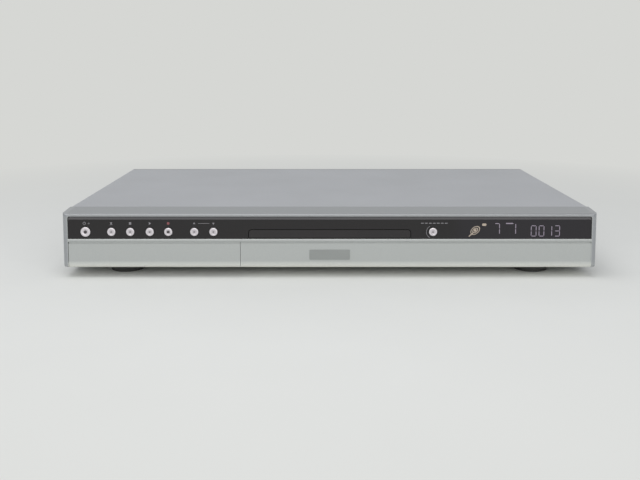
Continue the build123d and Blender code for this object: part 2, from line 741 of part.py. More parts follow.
def make_fascia():
    """Hollow moulding: brow, cheeks, bar, groove, chin with a rolled lip, flap bay and window seat."""
    section = outline((y_front, lip_low), (fascia_back, lip_low), (fascia_back, body_height),
                      (y_front, body_height - brow_fall))
    section = fillet(section.vertices().group_by(Axis.X)[0].sort_by(Axis.Y)[0], lip_round + chin_recess)
    section = fillet(section.vertices().group_by(Axis.X)[0].sort_by(Axis.Y)[-1], brow_round)
    body = side_profile(section, -half_width, half_width)
    plan = Rectangle(body_width, fascia_depth, align=(Align.CENTER, Align.MIN))
    plan = fillet(plan.vertices().group_by(Axis.Y)[0], corner_round)
    body &= Pos(0, y_front, 0) * extrude(plan, amount=body_height)
    front = Rectangle(body_width, body_height, align=(Align.CENTER, Align.MIN))
    front = fillet(front.vertices().group_by(Axis.Y)[0], corner_round)
    body &= Pos(0, y_front, lip_low) * extrude(Plane.XZ * front, amount=-fascia_depth)

    # hollow behind the window seat, behind the bar and behind the chin
    inner = half_width - fascia_wall
    body -= block(-inner, inner, backing_back, fascia_back, bay_roof, lid_inner - fascia_wall)
    body -= block(-opening_half, inner, chin_face + fascia_wall + groove_depth, fascia_back,
                  lip_low + fascia_wall, bay_roof + steel)

    # window seat, groove under the bar, recessed chin
    body -= window_slab(opening_half, window_low, window_high, y_front, window_corner)
    body -= block(-opening_half, opening_half, y_front, y_front + groove_depth, groove_low, bar_low)
    body -= block(-opening_half, opening_half, y_front, chin_face, lip_low, groove_low)
    roll = outline((chin_face, lip_low), (flap_axis_y, lip_low), (flap_axis_y, flap_axis_z),
                   (chin_face, flap_axis_z))
    roll -= Pos(flap_axis_y, flap_axis_z) * Circle(lip_round)
    body -= side_profile(roll, -opening_half, opening_half)
    bar_edges = [edge for edge in body.edges().filter_by(Axis.X)
                 if abs(edge.center().Y - y_front) < bar_round / 10
                 and bar_low - bar_round / 10 < edge.center().Z < window_low + bar_round / 10]
    body = fillet(bar_edges, bar_round)

    # open bay behind the flap, with room for the rolled lip to swing
    swing = flap_axis_y + lip_round + seam
    flap_stop = flap_right + seam
    body -= block(-opening_half, flap_stop, y_front, swing, lip_low, bar_low)
    body -= block(-opening_half, flap_stop, y_front, bay_back, lip_low + fascia_wall, bar_low)
    body += block(-opening_half, flap_stop, y_front + groove_depth, bay_back,
                  bar_low - seam, bar_low + groove_depth)
    body += block(flap_stop, flap_stop + divider, chin_face + fascia_wall, bay_back,
                  lip_low + fascia_wall / 2, bar_low + groove_depth)
    body -= cross_pin(flap_axis_y, flap_axis_z, flap_left - flap_pin_reach - seam,
                      flap_right + flap_pin_reach + seam, flap_pin + shaft_fit)

    # openings in the wall behind the window
    body -= block(-tray_panel_half - tray_gap, tray_panel_half + tray_gap, window_back - steel,
                  backing_back + steel, window_low, tray_panel_high + tray_gap)
    body -= block(display_left, display_right, window_back - steel, backing_back + steel,
                  window_low + fascia_wall, window_high - fascia_wall)
    for x, radius in buttons.values():
        body -= level_pin(x, button_z, window_back - steel, backing_back + steel, radius + button_gap)

    # seat of the badge, and clip tongues that reach over the base
    half = badge_width / 2 + shaft_fit
    body -= rounded_slab(-half, half, badge_low - shaft_fit, badge_low + badge_height + shaft_fit,
                         y_front, chin_face + badge_thick / 2, badge_thick)
    tongue_low = base_top + chassis_front_flange + seam
    for x in clip_x:
        body += block(x - clip_width / 2, x + clip_width / 2, fascia_back - fascia_wall,
                      fascia_back + clip_reach, tongue_low, tongue_low + fascia_wall)
        body += block(x - clip_width / 2, x + clip_width / 2, fascia_back - fascia_wall, fascia_back,
                      lip_low + fascia_wall / 2, tongue_low + fascia_wall)
    return body


def make_window():
    """Smoked acrylic strip with a bevelled top edge, button holes and a notch for the tray front."""
    edge = seam / 3
    high = window_high - edge
    window = window_slab(opening_half - edge, window_low + edge, high, window_face, window_corner - edge)
    section = outline((window_back, window_low), (window_face, window_low),
                      (window_face, high - window_bevel), (window_face + window_bevel_deep, high),
                      (window_back, high))
    window &= side_profile(section, -opening_half, opening_half)
    notch_half = tray_panel_half + tray_gap
    notch = rounded_slab(-notch_half, notch_half, window_low - tray_panel_height, tray_panel_high + tray_gap,
                         window_face - steel, window_back + steel, tray_panel_round + tray_gap)
    window -= notch
    for x, radius in buttons.values():
        window -= level_pin(x, button_z, window_face - steel, window_back + steel, radius + button_gap)
    return window


def make_badge():
    """Plain raised plate in the middle of the chin."""
    return rounded_slab(-badge_width / 2, badge_width / 2, badge_low, badge_low + badge_height,
                        chin_face - badge_thick / 2, chin_face + badge_thick / 2, badge_thick)


def make_flap():
    """Flap with a rolled lip that turns about its own centre, and a set-back strip along its top."""
    outer = lip_round
    inner = lip_round - flap_wall
    section = outline((chin_face, flap_axis_z), (chin_face + flap_wall, flap_axis_z),
                      (chin_face + flap_wall, flap_top), (chin_face, flap_top))
    roll = Pos(flap_axis_y, flap_axis_z) * (Circle(outer) - Circle(inner))
    roll &= outline((chin_face, lip_low), (flap_axis_y, lip_low), (flap_axis_y, flap_axis_z),
                    (chin_face, flap_axis_z))
    flap = side_profile(section + roll, flap_left, flap_right)
    flap += block(flap_left, flap_right, y_front + groove_depth, chin_face + flap_wall, flap_top,
                  bar_low - seam)
    for start in (flap_left, flap_right - flap_wall):
        ear = cross_pin(flap_axis_y, flap_axis_z, start, start + flap_wall, outer)
        ear -= block(start, start + flap_wall, flap_axis_y + flap_pin, flap_axis_y + outer, lip_low,
                     flap_axis_z + outer)
        flap += ear
    for start, end in ((flap_left - flap_pin_reach, flap_left + flap_wall),
                       (flap_right - flap_wall, flap_right + flap_pin_reach)):
        flap += cross_pin(flap_axis_y, flap_axis_z, start, end, flap_pin)
    rib_gap = flap_width / 4
    for index in range(3):
        x = flap_left + (index + 1) * rib_gap
        flap += block(x - flap_rib, x + flap_rib, chin_face + flap_wall, chin_face + flap_wall + flap_rib,
                      flap_axis_z + flap_wall, flap_top - flap_rib)
    return flap


def make_button(x, radius):
    """Turned cap with a rounded rim and dished face, retaining flange and stem to its switch."""
    face = window_face - button_proud
    flange_front = backing_back + seam
    cap = level_pin(x, button_z, face, flange_front, radius)
    cap = fillet(cap.edges().group_by(Axis.Y)[0], button_proud)
    cap -= Pos(x, face, button_z) * Rot(90, 0, 0) * Cone(radius / 2, radius - 2 * button_proud, button_dish)
    cap += level_pin(x, button_z, flange_front, flange_front + button_flange_thick, radius + button_flange)
    stem_end = button_board_y - switch_deep - button_travel - seam
    return cap + level_pin(x, button_z, flange_front, stem_end, button_stem)


def make_switches():
    """One tact switch on the boards behind each button."""
    switches = []
    for x, _ in buttons.values():
        half = switch_side / 2
        body = block(x - half, x + half, button_board_y - switch_deep + switch_step, button_board_y,
                     button_z - half, button_z + half)
        plunger = level_pin(x, button_z, button_board_y - switch_deep, button_board_y, button_stem)
        switches.append(body + plunger)
    return switches


def make_front_boards():
    """Button board, display board and socket board, upright behind the fascia."""
    y0 = button_board_y
    y1 = y0 + board_thick
    low = bay_roof + seam
    high = lid_inner - fascia_wall - seam
    left_high = buttons["channel_up_button"][0] + switch_side
    button_board = block(-half_width + fascia_wall + seam, left_high, y0, y1, low, high)
    display_low_x = buttons["select_button"][0] - switch_side
    display_board = block(display_low_x, half_width - fascia_wall - seam, y0, y1, low, high)
    y_jack = bay_back + panel_wall + front_board_gap
    jack_board = block(-opening_half + seam, front_jacks["digital"] + jack_block, y_jack,
                       y_jack + board_thick, lip_low + fascia_wall + seam, bar_low)
    return [button_board, display_board, jack_board]


def make_display():
    """Glass display tube on its board, with a stepped rim."""
    y1 = button_board_y
    y0 = y1 - display_deep
    tube = block(display_left, display_right, y0, y1, display_low, display_high)
    tube += block(display_left - display_rim, display_right + display_rim, y0 + display_rim, y1,
                  display_low - display_rim / 2, display_high + display_rim / 2)
    return tube


# ================================================================ sockets
def jack_barrel_tube(x, z, face):
    """Metal barrel of a phono socket, standing out of the panel face towards -Y or +Y."""
    reach, out = face
    tube = level_pin(x, z, reach, reach + out * jack_reach, jack_barrel)
    tube += level_pin(x, z, reach - out * panel_wall, reach, jack_barrel - jack_shoulder)
    return tube - level_pin(x, z, reach - out * panel_wall, reach + out * jack_reach, jack_bore)


def jack_insert(x, z, face, behind):
    """Coloured insert of a phono socket: core with its contact hole, and the body behind the panel."""
    reach, out = face
    half = jack_block / 2
    inside = reach - out * panel_wall
    core = level_pin(x, z, inside, reach + out * (jack_reach - jack_dish), jack_core)
    core -= level_pin(x, z, reach, reach + out * jack_reach, jack_contact)
    return core + block(x - half, x + half, *sorted((inside, behind)), z - half, z + half)


def svideo_socket(x, z, face, behind):
    """Round socket with a ring groove for the plug's shroud and a contact core."""
    reach, out = face
    half = jack_block / 2 + seam
    inside = reach - out * panel_wall
    shell = level_pin(x, z, inside, reach + out * panel_wall, svideo_radius)
    shell += block(x - half, x + half, *sorted((inside, behind)), z - half, z + half)
    mouth = reach + out * panel_wall
    floor = mouth - out * svideo_depth
    shell -= level_pin(x, z, floor, mouth, svideo_groove)
    return shell + level_pin(x, z, floor, mouth - out * jack_dish, svideo_core)


def make_jack_bracket():
    """Black panel at the back of the flap bay."""
    panel = block(-opening_half + seam, flap_right, bay_back, bay_back + panel_wall,
                  lip_low + fascia_wall + seam, bar_low - seam - shaft_fit)
    for name in ("yellow", "white", "red"):
        panel -= level_pin(front_jacks[name], front_jack_z, bay_back, bay_back + panel_wall,
                           jack_barrel - jack_shoulder + shaft_fit)
    panel -= level_pin(front_jacks["svideo"], front_jack_z, bay_back, bay_back + panel_wall,
                       svideo_radius + shaft_fit)
    half = digital_width / 2 + shaft_fit
    panel -= block(front_jacks["digital"] - half, front_jacks["digital"] + half, bay_back,
                   bay_back + panel_wall, front_jack_z - half, front_jack_z + half)
    return panel


def make_digital_jacks():
    """Front digital video socket and rear optical output, each a square shell with a slot."""
    half = digital_width / 2
    x = front_jacks["digital"]
    front = block(x - half, x + half, bay_back - panel_wall, front_behind,
                  front_jack_z - half, front_jack_z + half)
    front -= block(x - digital_slot / 2, x + digital_slot / 2, bay_back - panel_wall,
                   bay_back - panel_wall + digital_depth,
                   front_jack_z - digital_slot_height / 2, front_jack_z + digital_slot_height / 2)
    side = optical_side / 2
    x, z = optical_at
    rear = block(x - side, x + side, y_rear - optical_deep, y_rear + panel_wall, z - side, z + side)
    bore = digital_slot / 2
    rear -= block(x - bore, x + bore, y_rear + panel_wall - digital_depth, y_rear + panel_wall,
                  z - bore, z + bore)
    rear += level_pin(x, z, y_rear + panel_wall - digital_depth, y_rear, digital_slot_height / 4)
    return [front, rear]


def make_jacks():
    """Barrels and coloured inserts of all phono sockets, and the S-video sockets."""
    barrels = []
    inserts = {"yellow": [], "white": [], "red": [], "green": [], "blue": []}
    for name in ("yellow", "white", "red"):
        x = front_jacks[name]
        barrels.append(jack_barrel_tube(x, front_jack_z, front_face))
        inserts[name].append(jack_insert(x, front_jack_z, front_face, front_behind))
    for name, places in rear_jacks.items():
        for x, z in places:
            barrels.append(jack_barrel_tube(x, z, rear_face))
            inserts[name].append(jack_insert(x, z, rear_face, rear_behind))
    svideo = [svideo_socket(front_jacks["svideo"], front_jack_z, front_face, front_behind)]
    svideo += [svideo_socket(x, z, rear_face, rear_behind) for x, z in rear_svideo]
    return barrels, inserts, svideo


def make_jack_riser():
    """Upright board that carries the rear sockets and stands on the main board."""
    xs = [x for places in rear_jacks.values() for x, _ in places] + [optical_at[0]]
    low_x = min(xs) - jack_block
    high_x = max(xs) + jack_block
    return block(low_x, high_x, rear_behind - board_thick, rear_behind, board_top,
                 rear_row_high + jack_block)


def make_tuner():
    """Screened tuner box with a groove under its lid, and two aerial sockets through the panel."""
    x0, x1 = tuner_x
    y1 = y_rear - steel
    y0 = y1 - tuner_deep
    box = block(x0, x1, y0, y1, board_top, board_top + tuner_height)
    groove_high = board_top + tuner_height - tuner_lid
    groove = block(x0, x1, y0, y1, groove_high - tuner_groove, groove_high)
    groove -= block(x0 + tuner_groove, x1 - tuner_groove, y0 + tuner_groove, y1 - tuner_groove,
                    groove_high - tuner_groove, groove_high)
    box -= groove
    for x in aerial_x:
        box += level_pin(x, aerial_z, y1, y_rear + aerial_nut_thick, aerial_radius + aerial_shoulder)
        box += level_pin(x, aerial_z, y_rear + aerial_nut_thick, y_rear + aerial_reach, aerial_radius)
        box -= level_pin(x, aerial_z, y_rear + steel, y_rear + aerial_reach, aerial_bore)
    return box


def make_aerial_nuts():
    """Hexagon nuts that clamp the aerial sockets to the panel."""
    hexagon = RegularPolygon(aerial_nut, 6) - Circle(aerial_radius + aerial_shoulder + shaft_fit)
    nut = Rot(-90, 0, 0) * extrude(hexagon, amount=aerial_nut_thick)
    return [Pos(x, y_rear, aerial_z) * nut for x in aerial_x]


def make_inlet():
    """Two-pin mains inlet with a flange on the panel and its terminals behind."""
    half_w = inlet_width / 2
    half_h = inlet_height / 2
    y1 = y_rear + panel_wall
    body = rounded_slab(inlet_x - half_w, inlet_x + half_w, inlet_z - half_h, inlet_z + half_h,
                        y_rear - inlet_deep, y_rear, inlet_flange / 2)
    body += rounded_slab(inlet_x - half_w - inlet_flange, inlet_x + half_w + inlet_flange,
                         inlet_z - half_h - inlet_flange, inlet_z + half_h + inlet_flange,
                         y_rear, y1, inlet_flange)
    floor = y_rear - inlet_deep + 2 * inlet_wall
    lobe = half_h - inlet_wall
    cavity = block(inlet_x - inlet_pin_pitch / 2, inlet_x + inlet_pin_pitch / 2, floor, y1,
                   inlet_z - lobe, inlet_z + lobe)
    for side in (-1, 1):
        cavity += level_pin(inlet_x + side * inlet_pin_pitch / 2, inlet_z, floor, y1, lobe)
    body -= cavity
    for side in (-1, 1):
        x = inlet_x + side * inlet_pin_pitch / 2
        body += level_pin(x, inlet_z, floor, y1 - inlet_wall, inlet_pin)
        body += block(x - inlet_tag, x + inlet_tag, y_rear - inlet_deep - 5 * inlet_tag, y_rear - inlet_deep,
                      inlet_z - inlet_tag / 2, inlet_z + inlet_tag / 2)
    return body


def make_fan():
    """Square fan frame with a round duct and motor spider, and its bladed rotor."""
    half = fan_side / 2
    y1 = y_rear - steel
    y0 = y1 - fan_deep
    frame = rounded_slab(fan_x - half, fan_x + half, fan_z - half, fan_z + half, y0, y1, fan_corner)
    frame -= level_pin(fan_x, fan_z, y0, y1, fan_bore)
    spider = level_pin(fan_x, fan_z, y0, y0 + fan_spider, fan_hub)
    for turn in (45, 135):
        arm = block(-fan_bore - fan_spider, fan_bore + fan_spider, 0, fan_spider, -fan_spider, fan_spider)
        spider += Pos(fan_x, y0, fan_z) * Rot(0, turn, 0) * arm
    frame += spider + level_pin(fan_x, fan_z, y0, y0 + fan_axle, fan_shaft)
    rotor_y0 = y0 + fan_spider + seam
    rotor_y1 = y1 - seam
    rotor = level_pin(fan_x, fan_z, rotor_y0, rotor_y1, fan_hub)
    rotor -= level_pin(fan_x, fan_z, rotor_y0, y0 + fan_axle + seam, fan_shaft + shaft_fit)
    blade = block(fan_hub - fan_spider, fan_tip, -fan_blade_thick / 2, fan_blade_thick / 2,
                  -fan_chord / 2, fan_chord / 2)
    blade = Rot(fan_pitch, 0, 0) * blade
    blade &= Rot(90, 0, 0) * Cylinder(fan_tip, rotor_y1 - rotor_y0)
    for index in range(fan_blades):
        turned = Rot(0, 360 * index / fan_blades, 0) * blade
        rotor += Pos(fan_x, (rotor_y0 + rotor_y1) / 2, fan_z) * turned
    return frame, rotor


# ================================================================ disc tray
def make_tray():
    """Tray moulding: side skirts with guide flanges, stepped disc recess, open slot and a rack below."""
    tray = block(-tray_half, tray_half, tray_front_y, tray_rear, tray_low, tray_top)
    tray -= block(-tray_half + tray_skirt, tray_half - tray_skirt, tray_front_y + tray_skirt, tray_rear,
                  tray_low, tray_under)
    for side in (-1, 1):
        x0, x1 = sorted((side * tray_half, side * (tray_half + tray_flange)))
        tray += block(x0, x1, tray_front_y, tray_rear, tray_low, tray_low + tray_flange_thick)
    tray -= post(0, disc_y, disc_floor, tray_top, disc_recess)
    tray -= post(0, disc_y, disc_floor - small_recess_deep, tray_top, small_recess)
    tray -= post(0, disc_y, tray_low, tray_top, tray_slot)
    tray -= block(-tray_slot, tray_slot, disc_y, tray_rear, tray_low, tray_top)
    for side in (-1, 1):
        arm_x = side * (tray_half + tray_slot) / 2
        arm_half = (tray_half - tray_slot) / 2 - 2 * tray_skirt
        tray -= block(arm_x - arm_half, arm_x + arm_half, disc_y + disc_recess + 2 * tray_skirt,
                      tray_rear - 2 * tray_skirt, tray_top - small_recess_deep, tray_top)
        notch_x = side * disc_recess * cos(pi / 4)
        tray -= post(notch_x, disc_y - disc_recess * sin(pi / 4), disc_floor, tray_top, finger_notch)
    tray += rack(rack_module, rack_x, rack_x + rack_back, gear_y - rack_end, gear_y + tray_travel + rack_end,
                 gear_y, tray_low - seam / 2, tray_under + seam)
    return tray


def make_tray_panel():
    """Front strip of the tray, flush with the window, with rounded top corners."""
    half = tray_panel_half
    strip = Rectangle(2 * half, tray_panel_height, align=(Align.CENTER, Align.MIN))
    strip = fillet(strip.vertices().group_by(Axis.Y)[-1], tray_panel_round)
    strip = Pos(0, tray_panel_low) * strip
    return Pos(0, window_face, 0) * extrude(Plane.XZ * strip, amount=-tray_panel_wall)


# ================================================================ drive frame and loading train
def frame_side(side):
    """One side wall with the ribs that guide the tray's flange, and a window above the floor."""
    x0, x1 = sorted((side * frame_half, side * frame_outer))
    wall = block(x0, x1, frame_front, frame_rear, frame_low, frame_top)
    low0, low1 = sorted((side * (tray_half - guide_rib), side * frame_half))
    wall += block(low0, low1, frame_front, frame_rear, tray_low - seam - guide_rib, tray_low - seam)
    high0, high1 = sorted((side * (tray_half + seam), side * frame_half))
    flange_top = tray_low + tray_flange_thick + seam
    wall += block(high0, high1, frame_front, frame_rear, flange_top, flange_top + guide_rib)
    return wall - block(x0, x1, disc_y + bridge_depth, frame_rear - deck_depth, frame_low + 2 * frame_wall,
                        tray_low - 6 * guide_rib)


def make_drive_frame():
    """Side walls with guide ribs, front and rear floors, gear decks, lift bearings and screw ears."""
    frame = frame_side(-1) + frame_side(1)
    inner = frame_half
    deck_back = frame_front + deck_depth
    frame += block(-inner, inner, frame_front, frame_front + frame_wall, frame_low, deck_top)
    frame += block(-inner, inner, frame_front, deck_back, frame_low, frame_low + frame_floor)
    frame += block(-inner, inner, rear_floor_y, frame_rear, frame_low, frame_low + frame_floor)
    frame += block(-inner, inner, frame_rear - frame_wall, frame_rear, frame_low, tray_low - seam)
    frame += block(-inner, deck_left, frame_front, deck_back, deck_top - frame_deck, deck_top)
    frame += block(deck_right, inner, frame_front, deck_back, deck_top - frame_deck, deck_top)
    frame -= post(motor_x, motor_y, deck_top - frame_deck, deck_top, 2 * motor_shaft)
    for x in (gear_x, pulley_x):
        frame += post(x, gear_y, deck_top - frame_deck, pinion_high_z - 2 * seam, gear_post)
    bearing = 3 * lift_pin
    for side in (-1, 1):
        x0, x1 = sorted((side * (lift_half + seam * 2), side * (lift_half + lift_pin_reach + frame_wall)))
        frame += block(x0, x1, lift_pin_y - bearing, lift_pin_y + bearing, frame_low, lift_pin_z + bearing)
        frame -= cross_pin(lift_pin_y, lift_pin_z, side * lift_half,
                           side * (lift_half + lift_pin_reach + seam), lift_pin + shaft_fit)
    guide_end = cam_x1 + cam_travel + cam_rim
    for shift in (-cam_foot / 2 - seam - frame_wall, cam_foot / 2 + seam):
        frame += block(cam_x0 - cam_rim, guide_end, peg_y + shift, peg_y + shift + frame_wall,
                       frame_low + frame_floor, frame_low + frame_floor + cam_base)
    for x, y in drive_ears:
        half = frame_ear / 2
        frame += block(x - half, x + half, y - half, y + half, ear_low, ear_low + frame_floor)
        frame -= post(x, y, ear_low, ear_low + frame_floor, screw_shank + shaft_fit)
    boss_low = frame_top - bridge_boss_deep
    for x, y in bridge_screws:
        side = x / abs(x)
        x0, x1 = sorted((side * frame_half, x + side * bridge_boss))
        boss = post(x, y, boss_low, frame_top, bridge_boss)
        frame += boss & block(x0, x1, y - bridge_boss, y + bridge_boss, boss_low, frame_top)
        frame -= post(x, y, boss_low, frame_top, screw_shank + shaft_fit)
    return frame


def make_clamp_bridge():
    """Sheet bridge across the side walls, with a round hole that carries the clamper."""
    half = frame_outer + 2 * bridge_boss
    bridge_top = frame_top + bridge_thick
    bridge = block(-half, half, disc_y - bridge_depth / 2, disc_y + bridge_depth / 2, frame_top, bridge_top)
    for x, y in bridge_screws:
        bridge -= post(x, y, frame_top, bridge_top, screw_shank + shaft_fit)
        rib0, rib1 = sorted((x - x / abs(x) * bridge_depth, x / abs(x) * (frame_half - bridge_boss)))
        bridge += block(rib0, rib1, y - bridge_thick, y + bridge_thick,
                        bridge_top, bridge_top + bridge_thick)
    return bridge - post(0, disc_y, frame_top, frame_top + bridge_thick, bridge_hole)


def make_clamper():
    """Turned clamper: pressing disc with a recess for the hub, neck through the bridge and a cap above."""
    low_top = clamper_low + clamper_low_thick
    cap_low = frame_top + bridge_thick + clamper_play
    clamper = post(0, disc_y, clamper_low, low_top, clamper_radius)
    clamper += post(0, disc_y, low_top, cap_low, clamper_neck)
    clamper += post(0, disc_y, cap_low, cap_low + clamper_cap_thick, clamper_radius)
    hub_top = disc_seat + hub_height
    return clamper - post(0, disc_y, clamper_low, hub_top + clamper_play, hub_radius + clamper_play)


def make_drive_gear():
    """Two-stage gear: large wheel driven by the pulley gear, pinion above it that drives the tray's rack."""
    high = gear_low_z + gear_thick
    wheel = gear(train_module, drive_teeth, gear_x, gear_y, gear_low_z, high)
    wheel += gear(rack_module, rack_pinion_teeth, gear_x, gear_y, high, pinion_high_z)
    for index in range(5):
        angle = 2 * pi * index / 5
        ring = (drive_radius + rack_pinion_radius) / 2
        wheel -= post(gear_x + ring * cos(angle), gear_y + ring * sin(angle), gear_low_z, high, wheel_hole)
    return wheel - post(gear_x, gear_y, gear_low_z, pinion_high_z, gear_post + shaft_fit)


def make_pulley_gear():
    """Small pinion with a grooved belt pulley above it."""
    turn = 180.0 / pulley_teeth
    part = gear(train_module, pulley_teeth, pulley_x, gear_y, gear_low_z, pulley_low_z, turn)
    part += grooved_pulley(pulley_x, gear_y, pulley_radius)
    for index in range(4):
        angle = pi / 4 + pi * index / 2
        ring = (pulley_radius + gear_post) / 2
        part -= post(pulley_x + ring * cos(angle), gear_y + ring * sin(angle), pulley_low_z,
                     pulley_low_z + pulley_thick, pulley_hole)
    return part - post(pulley_x, gear_y, gear_low_z, pulley_low_z + pulley_thick, gear_post + shaft_fit)


def grooved_pulley(x, y, radius):
    """Pulley with a belt groove between two rims."""
    high = pulley_low_z + pulley_thick
    rim = (pulley_thick - belt_thick) / 2 - belt_gap
    groove = post(x, y, pulley_low_z + rim, high - rim, radius)
    groove -= post(x, y, pulley_low_z + rim, high - rim, radius - pulley_rim)
    return post(x, y, pulley_low_z, high, radius) - groove


def make_motor_pulley():
    """Pulley on the loading motor's shaft."""
    pulley = grooved_pulley(motor_x, motor_y, motor_pulley_radius + pulley_rim)
    high = pulley_low_z + pulley_thick
    return pulley - post(motor_x, motor_y, pulley_low_z, high, motor_shaft + shaft_fit)


def make_belt():
    """Square rubber belt round both pulleys."""
    low = pulley_low_z + (pulley_thick - belt_thick) / 2
    inner_a = pulley_radius - pulley_rim + belt_gap
    inner_b = motor_pulley_radius + belt_gap
    at_a = (pulley_x, gear_y)
    at_b = (motor_x, motor_y)
    ring = belt_face(at_a, inner_a + belt_thick, at_b, inner_b + belt_thick)
    ring -= belt_face(at_a, inner_a, at_b, inner_b)
    return Pos(0, 0, low) * extrude(ring, amount=belt_thick)


def make_loading_motor():
    """Can motor hung under the deck, with a crimped end and its shaft."""
    top = deck_top - frame_deck
    can = post(motor_x, motor_y, top - motor_length, top, motor_radius)
    can = fillet(can.edges().group_by(Axis.Z)[-1], motor_shaft)
    can += post(motor_x, motor_y, top - motor_length - motor_shaft, top - motor_length, motor_radius / 3)
    return can + post(motor_x, motor_y, top, pulley_low_z + pulley_thick, motor_shaft)


def make_cam_slider():
    """Slider whose slanted slot lowers and raises the lift frame's peg, with a level dwell at each end."""
    width = peg_radius + cam_play
    slider = block(cam_x0, cam_x1, cam_wall_y, cam_wall_y + cam_wall, cam_low, cam_top)
    slider += block(cam_x0, cam_x1, peg_y - cam_foot / 2, peg_y + cam_foot / 2, cam_low, cam_low + cam_base)
    corners = [(peg_x + cam_dwell, peg_z), (peg_x, peg_z), (cam_slot_end_x, peg_z - peg_drop),
               (cam_slot_end_x - cam_dwell, peg_z - peg_drop)]
    for (xa, za), (xb, zb) in zip(corners, corners[1:]):
        length = sqrt((xb - xa) ** 2 + (zb - za) ** 2)
        tilt = degrees(atan2(zb - za, xb - xa))
        slot = SlotCenterToCenter(length, 2 * width)
        cut = extrude(slot, amount=cam_wall, both=True)
        slider -= Pos((xa + xb) / 2, peg_y, (za + zb) / 2) * Rot(90, 0, 0) * Rot(0, 0, tilt) * cut
    return slider


# ================================================================ traverse
def make_lift_frame():
    """Plastic ring hinged at the rear on two pins, with damper pads and a peg for the cam slider."""
    high = lift_low_z + lift_thick
    ring = block(-lift_half, lift_half, lift_front_y, lift_rear_y, lift_low_z, high)
    ring -= block(-lift_half + lift_bar, lift_half - lift_bar, lift_front_y + lift_end, plate_rear_y,
                  lift_low_z, high)
    for side in (-1, 1):
        for y in (damper_front_y, damper_rear_y):
            ring += post(side * damper_x, y, lift_low_z, high, damper_radius + 2 * seam)
        start = side * (lift_half - lift_end)
        ring += cross_pin(lift_pin_y, lift_pin_z, start, side * lift_half, 1.5 * lift_pin)
        ring += cross_pin(lift_pin_y, lift_pin_z, start, side * (lift_half + lift_pin_reach), lift_pin)
    tab = lift_end / 2
    ring += block(peg_x - tab, peg_x + tab, lift_front_y, lift_front_y + lift_thick / 2, lift_low_z,
                  peg_z + 2 * peg_radius)
    return ring + level_pin(peg_x, peg_z, lift_front_y - peg_reach, lift_front_y + lift_thick / 2,
                            peg_radius)


def make_dampers():
    """Spool-shaped rubber dampers between the lift frame and the traverse plate."""
    low = lift_low_z + lift_thick
    spool = post(0, 0, low, low + damper_height, damper_radius)
    groove_low_z = plate_low - shaft_fit
    groove_high_z = plate_top + shaft_fit
    groove = post(0, 0, groove_low_z, groove_high_z, damper_radius)
    groove -= post(0, 0, groove_low_z, groove_high_z, damper_waist)
    spool -= groove + post(0, 0, low, low + damper_height, damper_bore)
    return [Pos(side * damper_x, y, 0) * spool for side in (-1, 1) for y in (damper_front_y, damper_rear_y)]


def make_traverse_plate():
    """Steel plate with the sled's window, rod clips and turned-up stiffening edge."""
    plate = block(-lift_half, lift_half, plate_front_y, plate_rear_y, plate_low, plate_top)
    plate -= block(-plate_window, plate_window, window_front_y, window_rear_y, plate_low, plate_top)
    for side in (-1, 1):
        for y in (damper_front_y, damper_rear_y):
            plate -= post(side * damper_x, y, plate_low, plate_top, damper_waist + shaft_fit)
        for y0 in (window_front_y - rod_clip, window_rear_y):
            half = rod_radius + rod_wall
            x = side * rod_x
            plate += block(x - half, x + half, y0, y0 + rod_clip, rod_z - half, rod_z + half)
            plate -= level_pin(side * rod_x, rod_z, y0, y0 + rod_clip, rod_radius + shaft_fit)
    plate += post(sled_gear_x, sled_gear_y, plate_top, sled_gear_low + sled_rack_thick, motor_shaft)
    plate -= post(0, disc_y, plate_low, plate_top, 2 * spindle_shaft)
    return plate - post(sled_motor_x, sled_motor_y, plate_low, plate_top, 2 * motor_shaft)


def make_rods():
    """Two polished guide rods."""
    y0 = window_front_y - rod_clip
    y1 = window_rear_y + rod_clip
    return [level_pin(side * rod_x, rod_z, y0, y1, rod_radius) for side in (-1, 1)]


def make_spindle_motor():
    """Flat brushless motor on the traverse plate."""
    body = post(0, disc_y, plate_top, plate_top + spindle_height, spindle_radius)
    body = fillet(body.edges().group_by(Axis.Z)[-1], spindle_shaft / 2)
    body += post(0, disc_y, plate_top, plate_top + spindle_shaft, spindle_radius + spindle_shaft)
    return body - post(0, disc_y, plate_top, plate_top + spindle_height, spindle_shaft + shaft_fit)


def make_turntable():
    """Disc seat with a skirt, centring cone and the spindle shaft that runs in the motor."""
    seat_low = disc_seat - turntable_thick
    table = post(0, disc_y, seat_low, disc_seat, turntable_radius)
    motor_top = plate_top + spindle_height
    table += post(0, disc_y, motor_top + seam, seat_low, turntable_skirt)
    table += post(0, disc_y, plate_top + seam, seat_low, spindle_shaft)
    table += Pos(0, disc_y, disc_seat + hub_height / 2) * Cone(hub_radius, hub_tip, hub_height)
    ring = post(0, disc_y, disc_seat - seam, disc_seat, turntable_radius - spindle_shaft / 2)
    ring -= post(0, disc_y, disc_seat - seam, disc_seat, turntable_radius - 2 * spindle_shaft)
    return table - ring


